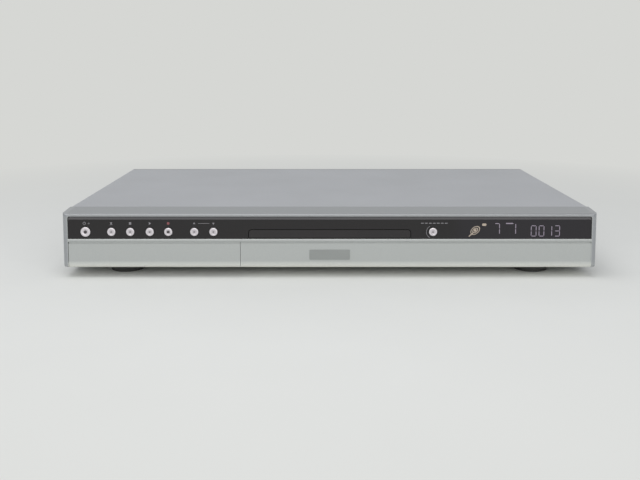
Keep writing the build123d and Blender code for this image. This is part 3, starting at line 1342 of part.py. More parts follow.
def make_sled():
    """Pickup carriage with rod bosses, a hollow for the spindle and a rack on its right side."""
    sled = block(-sled_half, sled_half, sled_front_y, sled_rear_y, sled_low_z, sled_high_z)
    sled -= post(0, disc_y, sled_low_z, sled_high_z, spindle_radius + sled_hollow)
    for side in (-1, 1):
        sled += level_pin(side * rod_x, rod_z, sled_front_y, sled_rear_y, sled_boss)
        inner, outer = sorted((side * (sled_half - rod_radius), side * rod_x))
        sled += block(inner, outer, sled_front_y, sled_rear_y, rod_z - sled_boss / 2, rod_z + sled_boss / 2)
        sled -= level_pin(side * rod_x, rod_z, sled_front_y, sled_rear_y, rod_radius + shaft_fit)
    rack_high = sled_rack_low + sled_rack_thick
    sled += block(sled_half - 2 * rod_radius, rod_x, sled_front_y, sled_rear_y,
                  sled_high_z - rod_wall, rack_high)
    return sled + rack(sled_rack_module, sled_rack_x, rod_x - rod_wall, sled_rear_y - seam,
                       sled_gear_y + rack_end / 2, sled_gear_y, sled_rack_low, rack_high)


def make_lens():
    """Lens holder with a domed lens."""
    holder_top = lens_top_z - lens_dome
    holder = post(0, lens_y, sled_high_z, holder_top, lens_holder)
    holder &= block(-lens_holder, lens_holder, lens_y - lens_half, lens_y + lens_half,
                    sled_high_z, lens_top_z)
    holder += post(0, lens_y, holder_top, lens_top_z - lens_dome / 3, lens_radius + lens_dome)
    dome = Pos(0, lens_y, lens_top_z - 2 * lens_radius) * Sphere(2 * lens_radius)
    return holder + (dome & post(0, lens_y, holder_top, lens_top_z, lens_radius))


def make_sled_gear():
    """Two-stage gear between the sled motor's pinion and the sled's rack."""
    high = sled_gear_low + sled_rack_thick
    part = gear(sled_rack_module, sled_pinion_teeth, sled_gear_x, sled_gear_y, sled_rack_low, sled_gear_low)
    part += gear(sled_module, sled_gear_teeth, sled_gear_x, sled_gear_y, sled_gear_low, high)
    return part - post(sled_gear_x, sled_gear_y, sled_rack_low, high, motor_shaft + shaft_fit)


def make_sled_motor():
    """Small can motor under the traverse plate, with its shaft."""
    body = post(sled_motor_x, sled_motor_y, plate_low - sled_motor_length, plate_low, sled_motor_radius)
    body = fillet(body.edges().group_by(Axis.Z)[0], motor_shaft / 2)
    body += post(sled_motor_x, sled_motor_y, plate_low, sled_gear_low + sled_rack_thick, motor_shaft)
    return body


def make_sled_pinion():
    """Pinion on the sled motor's shaft."""
    turn = sled_motor_turn + 180.0 + 180.0 / sled_motor_teeth
    part = gear(sled_module, sled_motor_teeth, sled_motor_x, sled_motor_y, sled_gear_low,
                sled_gear_low + sled_rack_thick, turn)
    return part - post(sled_motor_x, sled_motor_y, sled_gear_low, sled_gear_low + sled_rack_thick,
                       motor_shaft + shaft_fit)


# ================================================================ boards
def make_board(board, screws):
    """Circuit board with rounded corners and its screw holes."""
    x0, x1, y0, y1 = board
    sketch = RectangleRounded(x1 - x0, y1 - y0, board_thick)
    solid = Pos((x0 + x1) / 2, (y0 + y1) / 2, board_low) * extrude(sketch, amount=board_thick)
    for x, y in screws:
        solid -= post(x, y, board_low, board_top, screw_shank + shaft_fit)
    return solid


def make_transformer():
    """Switching transformer: ferrite core round a bobbin with its winding."""
    x, y = transformer_at
    width, depth, height = transformer_size
    half = width / 2
    wall = transformer_wall
    core = block(x - half, x + half, y - depth / 4, y + depth / 4, board_top + wall / 2, board_top + height)
    core += block(x - half + wall, x + half - wall, y - depth / 2, y + depth / 2,
                  board_top, board_top + wall)
    return core + rounded_slab(x - half + 1.5 * wall, x + half - 1.5 * wall, board_top + wall,
                               board_top + height - wall, y - depth / 2 + wall / 4,
                               y + depth / 2 - wall / 4, wall / 2)


def make_capacitors():
    """Electrolytic cans standing on the power board, each with a crimp groove."""
    cans = []
    for x, y, radius, height in capacitors:
        can = post(x, y, board_top, board_top + height, radius)
        can = fillet(can.edges().group_by(Axis.Z)[-1], can_round)
        ring = post(x, y, board_top + can_crimp, board_top + 2 * can_crimp, radius)
        ring -= post(x, y, board_top + can_crimp, board_top + 2 * can_crimp, radius - can_round)
        cans.append(can - ring)
    return cans


def make_chips():
    """Flat packages on the main board."""
    return [block(x - w / 2, x + w / 2, y - d / 2, y + d / 2, board_top, board_top + chip_thick)
            for x, y, w, d in chips]


def make_heat_sink():
    """Finned extrusion on the main processor."""
    x, y = chips[0][:2]
    half = sink_side / 2
    low = board_top + chip_thick
    sink = block(x - half, x + half, y - half, y + half, low, low + sink_base)
    pitch = (sink_side - sink_fin) / (sink_fins - 1)
    for index in range(sink_fins):
        x_fin = x - half + index * pitch
        sink += block(x_fin, x_fin + sink_fin, y - half, y + half, low + sink_base, low + sink_height)
    return sink


# ================================================================ write every node
barrels, inserts, svideo_jacks = make_jacks()
fan_frame, fan_rotor = make_fan()
nodes = {
    "top_cover": make_cover(),
    "bottom_chassis": make_chassis(),
    "rear_panel": make_rear_panel(),
    "screws": make_screws(),
    "feet": make_feet(),
    "front_frame": make_fascia(),
    "display_window": make_window(),
    "badge_plate": make_badge(),
    "flap_door": make_flap(),
    "front_boards": make_front_boards(),
    "tact_switches": make_switches(),
    "display_module": make_display(),
    "front_jack_bracket": make_jack_bracket(),
    "jack_barrels": barrels,
    "black_jacks": svideo_jacks + make_digital_jacks(),
    "tuner_module": [make_tuner()] + make_aerial_nuts(),
    "ac_inlet": make_inlet(),
    "fan_frame": fan_frame,
    "fan_rotor": fan_rotor,
    "disc_tray": make_tray(),
    "tray_front": make_tray_panel(),
    "drive_frame": make_drive_frame(),
    "clamp_bridge": make_clamp_bridge(),
    "clamper": make_clamper(),
    "drive_gear": make_drive_gear(),
    "pulley_gear": make_pulley_gear(),
    "motor_pulley": make_motor_pulley(),
    "loading_belt": make_belt(),
    "loading_motor": make_loading_motor(),
    "cam_slider": make_cam_slider(),
    "lift_frame": make_lift_frame(),
    "dampers": make_dampers(),
    "traverse_plate": make_traverse_plate(),
    "guide_rods": make_rods(),
    "spindle_motor": make_spindle_motor(),
    "turntable": make_turntable(),
    "pickup_sled": make_sled(),
    "pickup_lens": make_lens(),
    "sled_motor": make_sled_motor(),
    "sled_gear": make_sled_gear(),
    "sled_pinion": make_sled_pinion(),
    "power_board": make_board(power_board, board_corners(power_board)),
    "main_board": [make_board(main_board, board_corners(main_board)), make_jack_riser()],
    "power_transformer": make_transformer(),
    "power_capacitors": make_capacitors(),
    "main_chips": make_chips(),
    "heat_sink": make_heat_sink(),
}
for colour, solids in inserts.items():
    nodes[f"{colour}_jacks"] = solids
for button_name, (x, radius) in buttons.items():
    nodes[button_name] = make_button(x, radius)

for node_name, shape in nodes.items():
    save(node_name, Compound(children=list(shape)) if isinstance(shape, list) else shape)
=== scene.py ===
# %% [markdown]
# # A slim disc recorder on a pale studio floor
# The solids of the machine come ready made from the frame: case, fascia, window, buttons, tray and drive.
# This notebook gives them their finishes, adds what is printed or lit on them, and sets up the studio.

# %% Load the frame
import math
import bpy
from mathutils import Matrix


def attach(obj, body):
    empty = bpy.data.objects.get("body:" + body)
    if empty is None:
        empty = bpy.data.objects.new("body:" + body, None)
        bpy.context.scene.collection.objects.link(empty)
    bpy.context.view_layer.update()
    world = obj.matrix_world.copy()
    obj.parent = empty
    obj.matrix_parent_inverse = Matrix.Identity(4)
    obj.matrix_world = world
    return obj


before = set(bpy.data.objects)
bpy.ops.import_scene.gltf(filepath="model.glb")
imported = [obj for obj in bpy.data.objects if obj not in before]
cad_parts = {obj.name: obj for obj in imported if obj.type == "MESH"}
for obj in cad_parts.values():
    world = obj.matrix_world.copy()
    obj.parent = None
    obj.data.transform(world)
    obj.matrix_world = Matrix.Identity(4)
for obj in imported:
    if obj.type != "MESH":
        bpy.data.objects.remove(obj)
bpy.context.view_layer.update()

# %% [markdown]
# Everything below is in metres, while the sizes of the machine are easier to read in millimetres. Colours are
# picked as sRGB hex values, and one function turns them into the linear values that a shader wants.

# %% Units and colours
MM = 0.001
# Faces that the print lies on, the thickness of the ink and the bevel round its rims, in millimetres.
WINDOW_Y = -136.7
REAR_Y = 126.5
INK_THICK = 0.06
RIM = 0.015


def linear(code):
    """Linear colour of an sRGB hex code, with full alpha."""
    channels = [int(code[i:i + 2], 16) / 255 for i in (1, 3, 5)]
    return [c / 12.92 if c <= 0.04045 else ((c + 0.055) / 1.055) ** 2.4 for c in channels] + [1.0]


print("mid grey:", [round(c, 3) for c in linear("#808080")])

# %% [markdown]
# ## Node helpers
# A finish is a small graph: object coordinates feed a few patterns, and these vary colour, roughness and
# bump. Such graphs are usually drawn in the shader editor. In code, one function that adds a node, fills its
# inputs and hands back the output asked for keeps them short. A Map Range node spreads a pattern over another
# range, and a Mix node goes from one colour to another.

# %% Node helpers
RANGE, MIX, MATHS, SPLIT = "ShaderNodeMapRange", "ShaderNodeMix", "ShaderNodeMath", "ShaderNodeSeparateXYZ"
# Sockets that share a name are reached by number, such as a Mix node's factor, two colours and result.
FACTOR, FROM, TO = 0, 6, 7
COLOURS = {"data_type": "RGBA", "out": 2}


def add(tree, kind, inputs=None, out=None, **settings):
    """One node with its settings and its inputs, or the one output of it that is asked for."""
    node = tree.nodes.new(kind)
    for key, value in settings.items():
        setattr(node, key, value)
    for key, value in (inputs or {}).items():
        if isinstance(value, bpy.types.NodeSocket):
            tree.links.new(value, node.inputs[key])
        else:
            node.inputs[key].default_value = value
    return node if out is None else node.outputs[out]


def start_finish(name):
    """Empty material, its tree and the object coordinates."""
    material = bpy.data.materials.new(name)
    material.use_nodes = True
    tree = material.node_tree
    tree.nodes.clear()
    return material, tree, add(tree, "ShaderNodeTexCoord", out="Object")


def end_finish(tree, colour, roughness, bump_height, bump_mm, **fixed):
    """Principled shader with a bump, joined to the material output. Fixed sockets take plain values."""
    bump = add(tree, "ShaderNodeBump", {"Height": bump_height, "Strength": 1.0, "Distance": bump_mm * MM})
    shader = add(tree, "ShaderNodeBsdfPrincipled", {"Base Color": colour, "Roughness": roughness,
                                                    "Normal": bump.outputs["Normal"]})
    for key, value in fixed.items():
        shader.inputs[key.replace("_", " ").title().replace("Ior", "IOR")].default_value = value
    add(tree, "ShaderNodeOutputMaterial", {"Surface": shader.outputs["BSDF"]})
    return shader


def grain(tree, place, size_mm, detail=2.0, stretch=(1.0, 1.0, 1.0)):
    """Pattern whose features are about size_mm across, and longer along a stretched axis."""
    mapped = add(tree, "ShaderNodeMapping", {"Vector": place, "Scale": [1.0 / s for s in stretch]}, "Vector")
    return add(tree, "ShaderNodeTexNoise", {"Vector": mapped, "Scale": 1.0 / (size_mm * MM), "Detail": detail,
                                            "Roughness": 0.55}, "Fac")


print("node helpers ready")

# %% [markdown]
# ## Sheet steel finishes
# The cover is folded from sheet steel and coated with a baked metallic paint. The paint has fine aluminium
# flake, drawn here at 0.9 mm so that it shows, and the faint orange peel that a sprayed coat flows out to.
# A dark strip along the rear edge, where the sheet is bent down, is painted shade. A picture of painted steel
# could be laid on instead, but noise on object coordinates has no seams and keeps its size on every panel.

# %% Baked metallic paint
# Y between which a strip of painted shade runs along the rear of the cover, in millimetres.
REAR_SHADE_Y = (122.6, 124.0)


def baked_metallic_paint():
    """Sprayed and baked paint on steel: a soft sheen, with specks that catch the light."""
    material, tree, place = start_finish("baked_metallic_paint")
    flake = grain(tree, place, 0.9, detail=1.0)
    cloud = grain(tree, place, 60.0)
    peel = grain(tree, place, 3.5, detail=1.0)
    fine = add(tree, RANGE, {"Value": flake, "From Min": 0.3, "From Max": 0.7,
                             "To Min": -0.5, "To Max": 0.5}, "Result")
    wide = add(tree, RANGE, {"Value": cloud, "From Min": 0.3, "From Max": 0.7,
                             "To Min": 0.3, "To Max": 0.7}, "Result")
    tone = add(tree, MATHS, {0: fine, 1: wide}, "Value", operation="ADD")
    flat = add(tree, MIX, {FACTOR: tone, FROM: linear("#a6a8ad"), TO: linear("#b2b4ba")}, **COLOURS)
    depth = add(tree, SPLIT, {"Vector": place}, "Y")
    # Painted shade: the rear strip of the cover is mixed towards dark grey.
    rear_shade = add(tree, RANGE, {"Value": depth, "From Min": REAR_SHADE_Y[0] * MM,
                             "From Max": REAR_SHADE_Y[1] * MM}, "Result")
    colour = add(tree, MIX, {FACTOR: rear_shade, FROM: flat, TO: linear("#5e5f61")}, **COLOURS)
    rough = add(tree, RANGE, {"Value": flake, "To Min": 0.40, "To Max": 0.48}, "Result")
    end_finish(tree, colour, rough, peel, 0.02, metallic=0.35)
    return material


# %% [markdown]
# The other metals are bare or plated. Galvanised sheet has a faint spangle and rolling lines, nickel plating
# is smooth and warm with turning marks, and screws have a dark passivated coat. A plain grey could stand for
# all of them. Here each is a metal in the shader, so its colour is what it reflects, and fine lines in the
# roughness tell the eye how it was made.

# %% Plated metals
def zinc_plated_sheet():
    """Bright galvanised sheet: faint spangle and rolling lines."""
    material, tree, place = start_finish("zinc_plated_sheet")
    crystals = add(tree, "ShaderNodeTexVoronoi", {"Vector": place, "Scale": 1.0 / (7.0 * MM)}, "Distance")
    lines = grain(tree, place, 0.8, detail=3.0, stretch=(40.0, 1.0, 1.0))
    colour = add(tree, MIX, {FACTOR: crystals, FROM: linear("#acaeaf"), TO: linear("#a1a4a6")}, **COLOURS)
    rough = add(tree, RANGE, {"Value": lines, "From Min": 0.3, "From Max": 0.7,
                              "To Min": 0.28, "To Max": 0.46}, "Result")
    end_finish(tree, colour, rough, lines, 0.01, metallic=0.9)
    return material


def nickel_plating():
    """Nickel plated turned brass and drawn cans: smooth, warm grey, with fine turning marks."""
    material, tree, place = start_finish("nickel_plating")
    marks = grain(tree, place, 0.5, stretch=(1.0, 1.0, 8.0))
    tint = grain(tree, place, 6.0)
    colour = add(tree, MIX, {FACTOR: tint, FROM: linear("#b9b6ae"), TO: linear("#cbc8c1")}, **COLOURS)
    rough = add(tree, RANGE, {"Value": marks, "To Min": 0.18, "To Max": 0.32}, "Result")
    end_finish(tree, colour, rough, marks, 0.004, metallic=1.0)
    return material


def passivated_screw_steel():
    """Cross head screws with a dark passivated zinc coat."""
    material, tree, place = start_finish("passivated_screw_steel")
    wear = grain(tree, place, 1.2)
    colour = add(tree, MIX, {FACTOR: wear, FROM: linear("#6d6e70"), TO: linear("#93948f")}, **COLOURS)
    rough = add(tree, RANGE, {"Value": wear, "To Min": 0.3, "To Max": 0.5}, "Result")
    end_finish(tree, colour, rough, wear, 0.01, metallic=0.95)
    return material


print("sheet finishes ready")

# %% [markdown]
# ## Mouldings
# The fascia is moulded ABS sprayed with silver lacquer. From the lip up to the brow its colour goes from
# pale to dark in four bands, so a ramp picks its colour by the height of the surface. The near-white lip is a
# painted highlight, the pale floor reflected in its rolled edge, and the darker upper rim and brow are
# painted shade. The two cheeks at the ends are darker again, painted shade where they curve back. Splitting
# the fascia into four objects would give the same bands, but it is one moulding. The other mouldings differ
# in tone, grain and gloss, so one function makes them.

# %% Silver lacquer
# Height and colour of each stop, from a painted highlight at the lip to painted shade on the upper rim and
# brow, and the X at which the painted shade of the cheeks begins, in millimetres.
BANDS = ((9.0, "#ecede6"), (14.0, "#b4b7b5"), (50.0, "#b4b7b5"), (50.6, "#939597"), (52.2, "#939597"),
         (52.9, "#888b90"))
BAND_TOP = 60.0
CHEEK_SHADE_X = (210.7, 211.2)


def silver_lacquered_abs():
    """Sprayed silver lacquer on ABS under a thin clear coat: satin, with a fine sparkle."""
    material, tree, place = start_finish("silver_lacquered_abs")
    flake = grain(tree, place, 0.7, detail=1.0)
    cloud = grain(tree, place, 45.0)
    parts = add(tree, SPLIT, {"Vector": place}).outputs
    # The ramp paints a highlight on the lip and shade on the upper rim and brow.
    height = add(tree, RANGE, {"Value": parts["Z"], "From Max": BAND_TOP * MM}, "Result")
    ramp = add(tree, "ShaderNodeValToRGB", {"Fac": height})
    while len(ramp.color_ramp.elements) < len(BANDS):
        ramp.color_ramp.elements.new(0.5)
    for element, (at, code) in zip(ramp.color_ramp.elements, BANDS):
        element.position = at / BAND_TOP
        element.color = linear(code)
    # Painted shade on the two cheeks, where they curve back.
    aside = add(tree, MATHS, {0: parts["X"]}, "Value", operation="ABSOLUTE")
    cheek_shade = add(tree, RANGE, {"Value": aside, "From Min": CHEEK_SHADE_X[0] * MM,
                              "From Max": CHEEK_SHADE_X[1] * MM, "To Max": 0.8}, "Result")
    cheek_shaded = add(tree, MIX, {FACTOR: cheek_shade, FROM: ramp.outputs["Color"], TO: linear("#96999d")}, **COLOURS)
    fleck = add(tree, RANGE, {"Value": flake, "From Min": 0.40, "From Max": 0.65, "To Max": 0.10}, "Result")
    colour = add(tree, MIX, {FACTOR: fleck, FROM: cheek_shaded, TO: linear("#6f7274")}, **COLOURS)
    rough = add(tree, RANGE, {"Value": flake, "To Min": 0.30, "To Max": 0.40}, "Result")
    end_finish(tree, colour, rough, cloud, 0.02, metallic=0.30, coat_weight=0.25, coat_roughness=0.15)
    return material


# %% Other mouldings
def moulded_plastic(name, dark, light, roughness, grain_mm=0.5, depth_mm=0.01, **fixed):
    """Injection moulded plastic: a spark eroded grain and a slow change of tone from the mould's flow."""
    material, tree, place = start_finish(name)
    skin = grain(tree, place, grain_mm)
    flow = grain(tree, place, 30.0)
    colour = add(tree, MIX, {FACTOR: flow, FROM: linear(dark), TO: linear(light)}, **COLOURS)
    rough = add(tree, RANGE, {"Value": skin,
                              "To Min": roughness - 0.05, "To Max": roughness + 0.06}, "Result")
    end_finish(tree, colour, rough, skin, depth_mm, **fixed)
    return material


# X between which the display tube begins, and Z of the window's upper bevel, where a highlight is painted, in
# millimetres.
TUBE_EDGE = (98.0, 110.0)
BEVEL_HIGHLIGHT_Z = (47.6, 48.0)


def smoked_acrylic():
    """Window strip: polished dark acrylic, with a painted highlight along its upper bevel, and paler where
    the display tube shows through.
    """
    material, tree, place = start_finish("smoked_acrylic")
    dust = grain(tree, place, 0.6, detail=3.0)
    haze = grain(tree, place, 25.0)
    parts = add(tree, SPLIT, {"Vector": place}).outputs
    tube = add(tree, RANGE, {"Value": parts["X"], "From Min": TUBE_EDGE[0] * MM,
                             "From Max": TUBE_EDGE[1] * MM}, "Result")
    # Painted highlight: the upper bevel is mixed towards a paler grey.
    bevel = add(tree, RANGE, {"Value": parts["Z"], "From Min": BEVEL_HIGHLIGHT_Z[0] * MM,
                              "From Max": BEVEL_HIGHLIGHT_Z[1] * MM}, "Result")
    specks = add(tree, RANGE, {"Value": dust, "From Min": 0.70, "From Max": 0.80}, "Result")
    tinted = add(tree, MIX, {FACTOR: tube, FROM: linear("#181516"), TO: linear("#1d1a1f")}, **COLOURS)
    bevel_highlighted = add(tree, MIX, {FACTOR: bevel, FROM: tinted, TO: linear("#323034")}, **COLOURS)
    colour = add(tree, MIX, {FACTOR: specks, FROM: bevel_highlighted, TO: linear("#4a484a")}, **COLOURS)
    rough = add(tree, RANGE, {"Value": haze, "To Min": 0.07, "To Max": 0.13}, "Result")
    end_finish(tree, colour, rough, haze, 0.01, ior=1.49)
    return material


# Y of a button's rim and of its dish, between which painted shade deepens into the dish, in millimetres.
DISH_SHADE_Y = (WINDOW_Y - 0.45, WINDOW_Y - 0.1)


def satin_chromed_abs():
    """Buttons: ABS with a satin chrome plating, darker in the dish with painted shade."""
    material, tree, place = start_finish("satin_chromed_abs")
    rings = grain(tree, place, 0.35, stretch=(1.0, 4.0, 1.0))
    tint = grain(tree, place, 3.0)
    depth = add(tree, SPLIT, {"Vector": place}, "Y")
    # Painted shade: the dish is mixed towards a darker grey.
    dish = add(tree, RANGE, {"Value": depth, "From Min": DISH_SHADE_Y[0] * MM, "From Max": DISH_SHADE_Y[1] * MM}, "Result")
    rim = add(tree, MIX, {FACTOR: tint, FROM: linear("#d8d2d7"), TO: linear("#e6e1e5")}, **COLOURS)
    colour = add(tree, MIX, {FACTOR: dish, FROM: rim, TO: linear("#a39da2")}, **COLOURS)
    rough = add(tree, RANGE, {"Value": rings, "To Min": 0.24, "To Max": 0.36}, "Result")
    end_finish(tree, colour, rough, rings, 0.005, metallic=0.75)
    return material


print("mouldings ready")

# %% [markdown]
# ## Boards, aluminium and ink
# Inside are circuit boards with copper tracks under green lacquer and an extruded heat sink. Real tracks
# could be drawn one by one, but they are only glimpsed through the vents and the tray's slot, so a brick
# pattern 2.5 mm wide stands for them, seen as a slightly lighter green through the lacquer.

# %% Circuit board, heat sink and ink
def solder_masked_board():
    """Glass fibre board under green lacquer: glossy, with the tracks standing a little proud."""
    material, tree, place = start_finish("solder_masked_board")
    tracks = add(tree, "ShaderNodeTexBrick", {"Vector": place, "Scale": 1.0, "Brick Width": 9.0 * MM,
                                              "Row Height": 2.5 * MM, "Mortar Size": 0.35 * MM}, "Fac")
    skin = grain(tree, place, 0.8)
    colour = add(tree, MIX, {FACTOR: tracks, FROM: linear("#1f5a33"), TO: linear("#2f7a45")}, **COLOURS)
    rough = add(tree, RANGE, {"Value": skin, "To Min": 0.30, "To Max": 0.45}, "Result")
    end_finish(tree, colour, rough, tracks, 0.03)
    return material


def extruded_aluminium():
    """Extruded heat sink: bright, with drawing lines along its fins."""
    material, tree, place = start_finish("extruded_aluminium")
    lines = grain(tree, place, 0.5, detail=3.0, stretch=(1.0, 30.0, 30.0))
    colour = add(tree, MIX, {FACTOR: lines, FROM: linear("#b9bbbd"), TO: linear("#d0d2d3")}, **COLOURS)
    rough = add(tree, RANGE, {"Value": lines, "To Min": 0.3, "To Max": 0.45}, "Result")
    end_finish(tree, colour, rough, lines, 0.01, metallic=1.0)
    return material


INK_SHADE = 0.86


def printed_ink(name, code, glow=0.0):
    """Screen printed ink or a lit segment, a little uneven like the real print."""
    material, tree, place = start_finish(name)
    mottle = grain(tree, place, 0.4)
    darker = "#" + "".join(f"{int(int(code[i:i + 2], 16) * INK_SHADE):02x}" for i in (1, 3, 5))
    colour = add(tree, MIX, {FACTOR: mottle, FROM: linear(darker), TO: linear(code)}, **COLOURS)
    rough = add(tree, RANGE, {"Value": mottle, "To Min": 0.4, "To Max": 0.6}, "Result")
    shader = end_finish(tree, colour, rough, mottle, 0.005)
    if glow:
        tree.links.new(colour, shader.inputs["Emission Color"])
        shader.inputs["Emission Strength"].default_value = glow
    return material


print("inner finishes ready")

# %% [markdown]
# ## Giving the solids their finishes
# Each solid's material slots take the finish of what it is made of. The slots could be set one by one by
# hand; a table of names is easier to read and to correct, and it shows at a glance what is made of what.

# %% Assign finishes
paint = baked_metallic_paint()
zinc = zinc_plated_sheet()
nickel = nickel_plating()
screw_steel = passivated_screw_steel()
lacquer = silver_lacquered_abs()
# The numbers are the roughness, the grain's size and its depth in millimetres.
# Sprayed ABS: a fine grain under a low sheen.
badge_lacquer = moulded_plastic("badge_grey_abs", "#8f9290", "#999c9a", 0.36, 0.6, 0.01, metallic=0.3)
acrylic = smoked_acrylic()
chrome_abs = satin_chromed_abs()
# Spark eroded ABS looks matt and even, polished ABS mirrors the room, and acetal is milky and waxy.
black_abs = moulded_plastic("black_grained_abs", "#161617", "#1e1e20", 0.48, 0.6, 0.03)
tray_front_abs = moulded_plastic("gloss_black_abs", "#1e1b1c", "#252223", 0.14, 1.2, 0.004)
tray_abs = moulded_plastic("tray_grey_abs", "#26272a", "#2e2f33", 0.40, 0.7, 0.02)
frame_abs = moulded_plastic("drive_frame_abs", "#1b1c1f", "#232428", 0.50, 0.8, 0.02)
acetal = moulded_plastic("natural_acetal", "#d9d6cb", "#e6e3d9", 0.38, 0.8, 0.01)
# Elastomers are the dullest finish here, with a coarse skin.
foot_rubber = moulded_plastic("foot_elastomer", "#3a3a39", "#444443", 0.62, 0.9, 0.04)
belt_rubber = moulded_plastic("moulded_rubber", "#121212", "#1b1b1b", 0.6, 0.5, 0.02)
# The phono sockets have glossy coloured inserts.
inserts = {
    "yellow_jacks": moulded_plastic("yellow_insert", "#d9a514", "#e5b31c", 0.3),
    "white_jacks": moulded_plastic("white_insert", "#dedbd2", "#ebe8e0", 0.3),
    "red_jacks": moulded_plastic("red_insert", "#a81a1c", "#b92224", 0.3),
    "green_jacks": moulded_plastic("green_insert", "#1c8a45", "#249a50", 0.3),
    "blue_jacks": moulded_plastic("blue_insert", "#1f4d9e", "#275bb2", 0.3),
}
board = solder_masked_board()
sink = extruded_aluminium()
# Ferrite is a pressed and fired ceramic, rough and nearly black. The sleeve is shrunk film. Glass has no
# grain to see.
ferrite = moulded_plastic("sintered_ferrite", "#2a2a2b", "#343435", 0.55, 0.7, 0.03)
sleeve = moulded_plastic("capacitor_sleeve", "#1d2238", "#272d47", 0.32, 1.0, 0.005)
tube_glass = moulded_plastic("display_tube_glass", "#15181a", "#1d2225", 0.08, 4.0, 0.003, ior=1.52)
lens_glass = moulded_plastic("coated_lens", "#23264a", "#31386a", 0.06, 2.0, 0.002, ior=1.6)

finishes = {
    "top_cover": paint, "bottom_chassis": zinc, "rear_panel": zinc, "screws": screw_steel,
    "feet": foot_rubber, "front_frame": lacquer, "flap_door": lacquer, "badge_plate": badge_lacquer,
    "display_window": acrylic, "tray_front": tray_front_abs, "disc_tray": tray_abs, "front_boards": board,
    "main_board": board, "power_board": board, "tact_switches": black_abs, "display_module": tube_glass,
    "front_jack_bracket": black_abs, "black_jacks": black_abs, "ac_inlet": black_abs, "jack_barrels": nickel,
    "tuner_module": nickel, "fan_frame": black_abs, "fan_rotor": black_abs, "drive_frame": frame_abs,
    "clamp_bridge": zinc, "clamper": acetal, "drive_gear": acetal, "pulley_gear": acetal,
    "motor_pulley": acetal, "cam_slider": acetal, "sled_gear": acetal, "sled_pinion": acetal,
    "loading_belt": belt_rubber, "dampers": belt_rubber, "loading_motor": nickel, "sled_motor": nickel,
    "spindle_motor": nickel, "guide_rods": nickel, "turntable": black_abs, "traverse_plate": zinc,
    "lift_frame": frame_abs, "pickup_sled": frame_abs, "pickup_lens": lens_glass, "main_chips": black_abs,
    "heat_sink": sink, "power_transformer": ferrite, "power_capacitors": sleeve,
}
finishes.update(inserts)
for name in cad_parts:
    if name.endswith("_button"):
        finishes[name] = chrome_abs


def dress(piece, finish):
    """The piece gets one finish in all its slots."""
    if not piece.material_slots:
        piece.data.materials.append(finish)
    for slot in piece.material_slots:
        slot.material = finish


for name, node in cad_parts.items():
    dress(node, finishes[name])
print("dressed", len(finishes), "solids")

# %% [markdown]
# ## Printed marks
# Above each button the real machine has a small printed sign. Here they are plain generic signs: power,
# eject, stop, play, record and two arrows. They could be a picture on the window, but then they would blur up
# close. So each is a thin layer of ink with real edges, made from primitives that are shaped in edit mode,
# joined, given a soft rim and laid on the window.

# %% Helpers for thin printed shapes
def rest_all():
    """Nothing selected, so that the next operator acts on the new piece alone."""
    if bpy.context.object and bpy.context.object.mode != "OBJECT":
        bpy.ops.object.mode_set(mode="OBJECT")
    bpy.ops.object.select_all(action="DESELECT")


def settle(piece, name):
    """Place and size of the piece go into its mesh."""
    rest_all()
    piece.select_set(True)
    bpy.context.view_layer.objects.active = piece
    bpy.ops.object.transform_apply(location=True, rotation=True, scale=True)
    piece.name = name
    piece.data.name = name
    return piece


def soften(piece):
    """Narrow bevel round every rim, as wet ink draws back from its edge."""
    rim = piece.modifiers.new("rim", "BEVEL")
    rim.width = RIM * MM
    rim.segments = 1
    rim.limit_method = "ANGLE"
    bpy.ops.object.modifier_apply(modifier=rim.name)


def one_piece(parts, name):
    """Several objects joined into one, with soft rims."""
    rest_all()
    for part in parts:
        part.select_set(True)
    bpy.context.view_layer.objects.active = parts[0]
    if len(parts) > 1:
        bpy.ops.object.join()
    piece = settle(bpy.context.view_layer.objects.active, name)
    soften(piece)
    return piece


# Least part of a normal along an axis for its face to count as facing that way, and the share of a bar's
# height that is left at its point.
FACING = 0.9
TIP = 0.08


def edit_faces(piece, wanted):
    """Edit mode with only those faces selected whose normal is wanted."""
    bpy.ops.object.mode_set(mode="EDIT")
    bpy.ops.mesh.select_mode(type="FACE")
    bpy.ops.mesh.select_all(action="DESELECT")
    bpy.ops.object.mode_set(mode="OBJECT")
    for face in piece.data.polygons:
        face.select = wanted(face.normal)
    bpy.ops.object.mode_set(mode="EDIT")


def ink_bar(x, z, width, height, y=WINDOW_Y, turn=0.0, point=0.0):
    """Thin bar facing the front; its two ends can be drawn out to a point, as a display segment's are."""
    rest_all()
    bpy.ops.mesh.primitive_cube_add(size=1.0, location=(x * MM, y * MM, z * MM))
    bar = bpy.context.object
    bar.scale = ((width - 2 * point) * MM, INK_THICK * MM, height * MM)
    bpy.ops.object.transform_apply(location=False, rotation=False, scale=True)
    if point:
        for side in (-1, 1):
            edit_faces(bar, lambda normal: normal.x * side > FACING)
            bpy.ops.mesh.extrude_region_move(TRANSFORM_OT_translate={"value": (side * point * MM, 0, 0)})
            bpy.ops.transform.resize(value=(1.0, 1.0, TIP))
            bpy.ops.object.mode_set(mode="OBJECT")
    bar.rotation_euler = (0.0, turn, 0.0)
    bpy.ops.object.transform_apply(location=False, rotation=True, scale=False)
    return bar


def ink_disc(x, z, radius, y=WINDOW_Y, sides=24, turn=0.0):
    """Thin round or many sided patch facing the front."""
    rest_all()
    bpy.ops.mesh.primitive_cylinder_add(vertices=sides, radius=radius * MM, depth=INK_THICK * MM,
                                        location=(x * MM, y * MM, z * MM), rotation=(math.pi / 2, turn, 0.0))
    return bpy.context.object


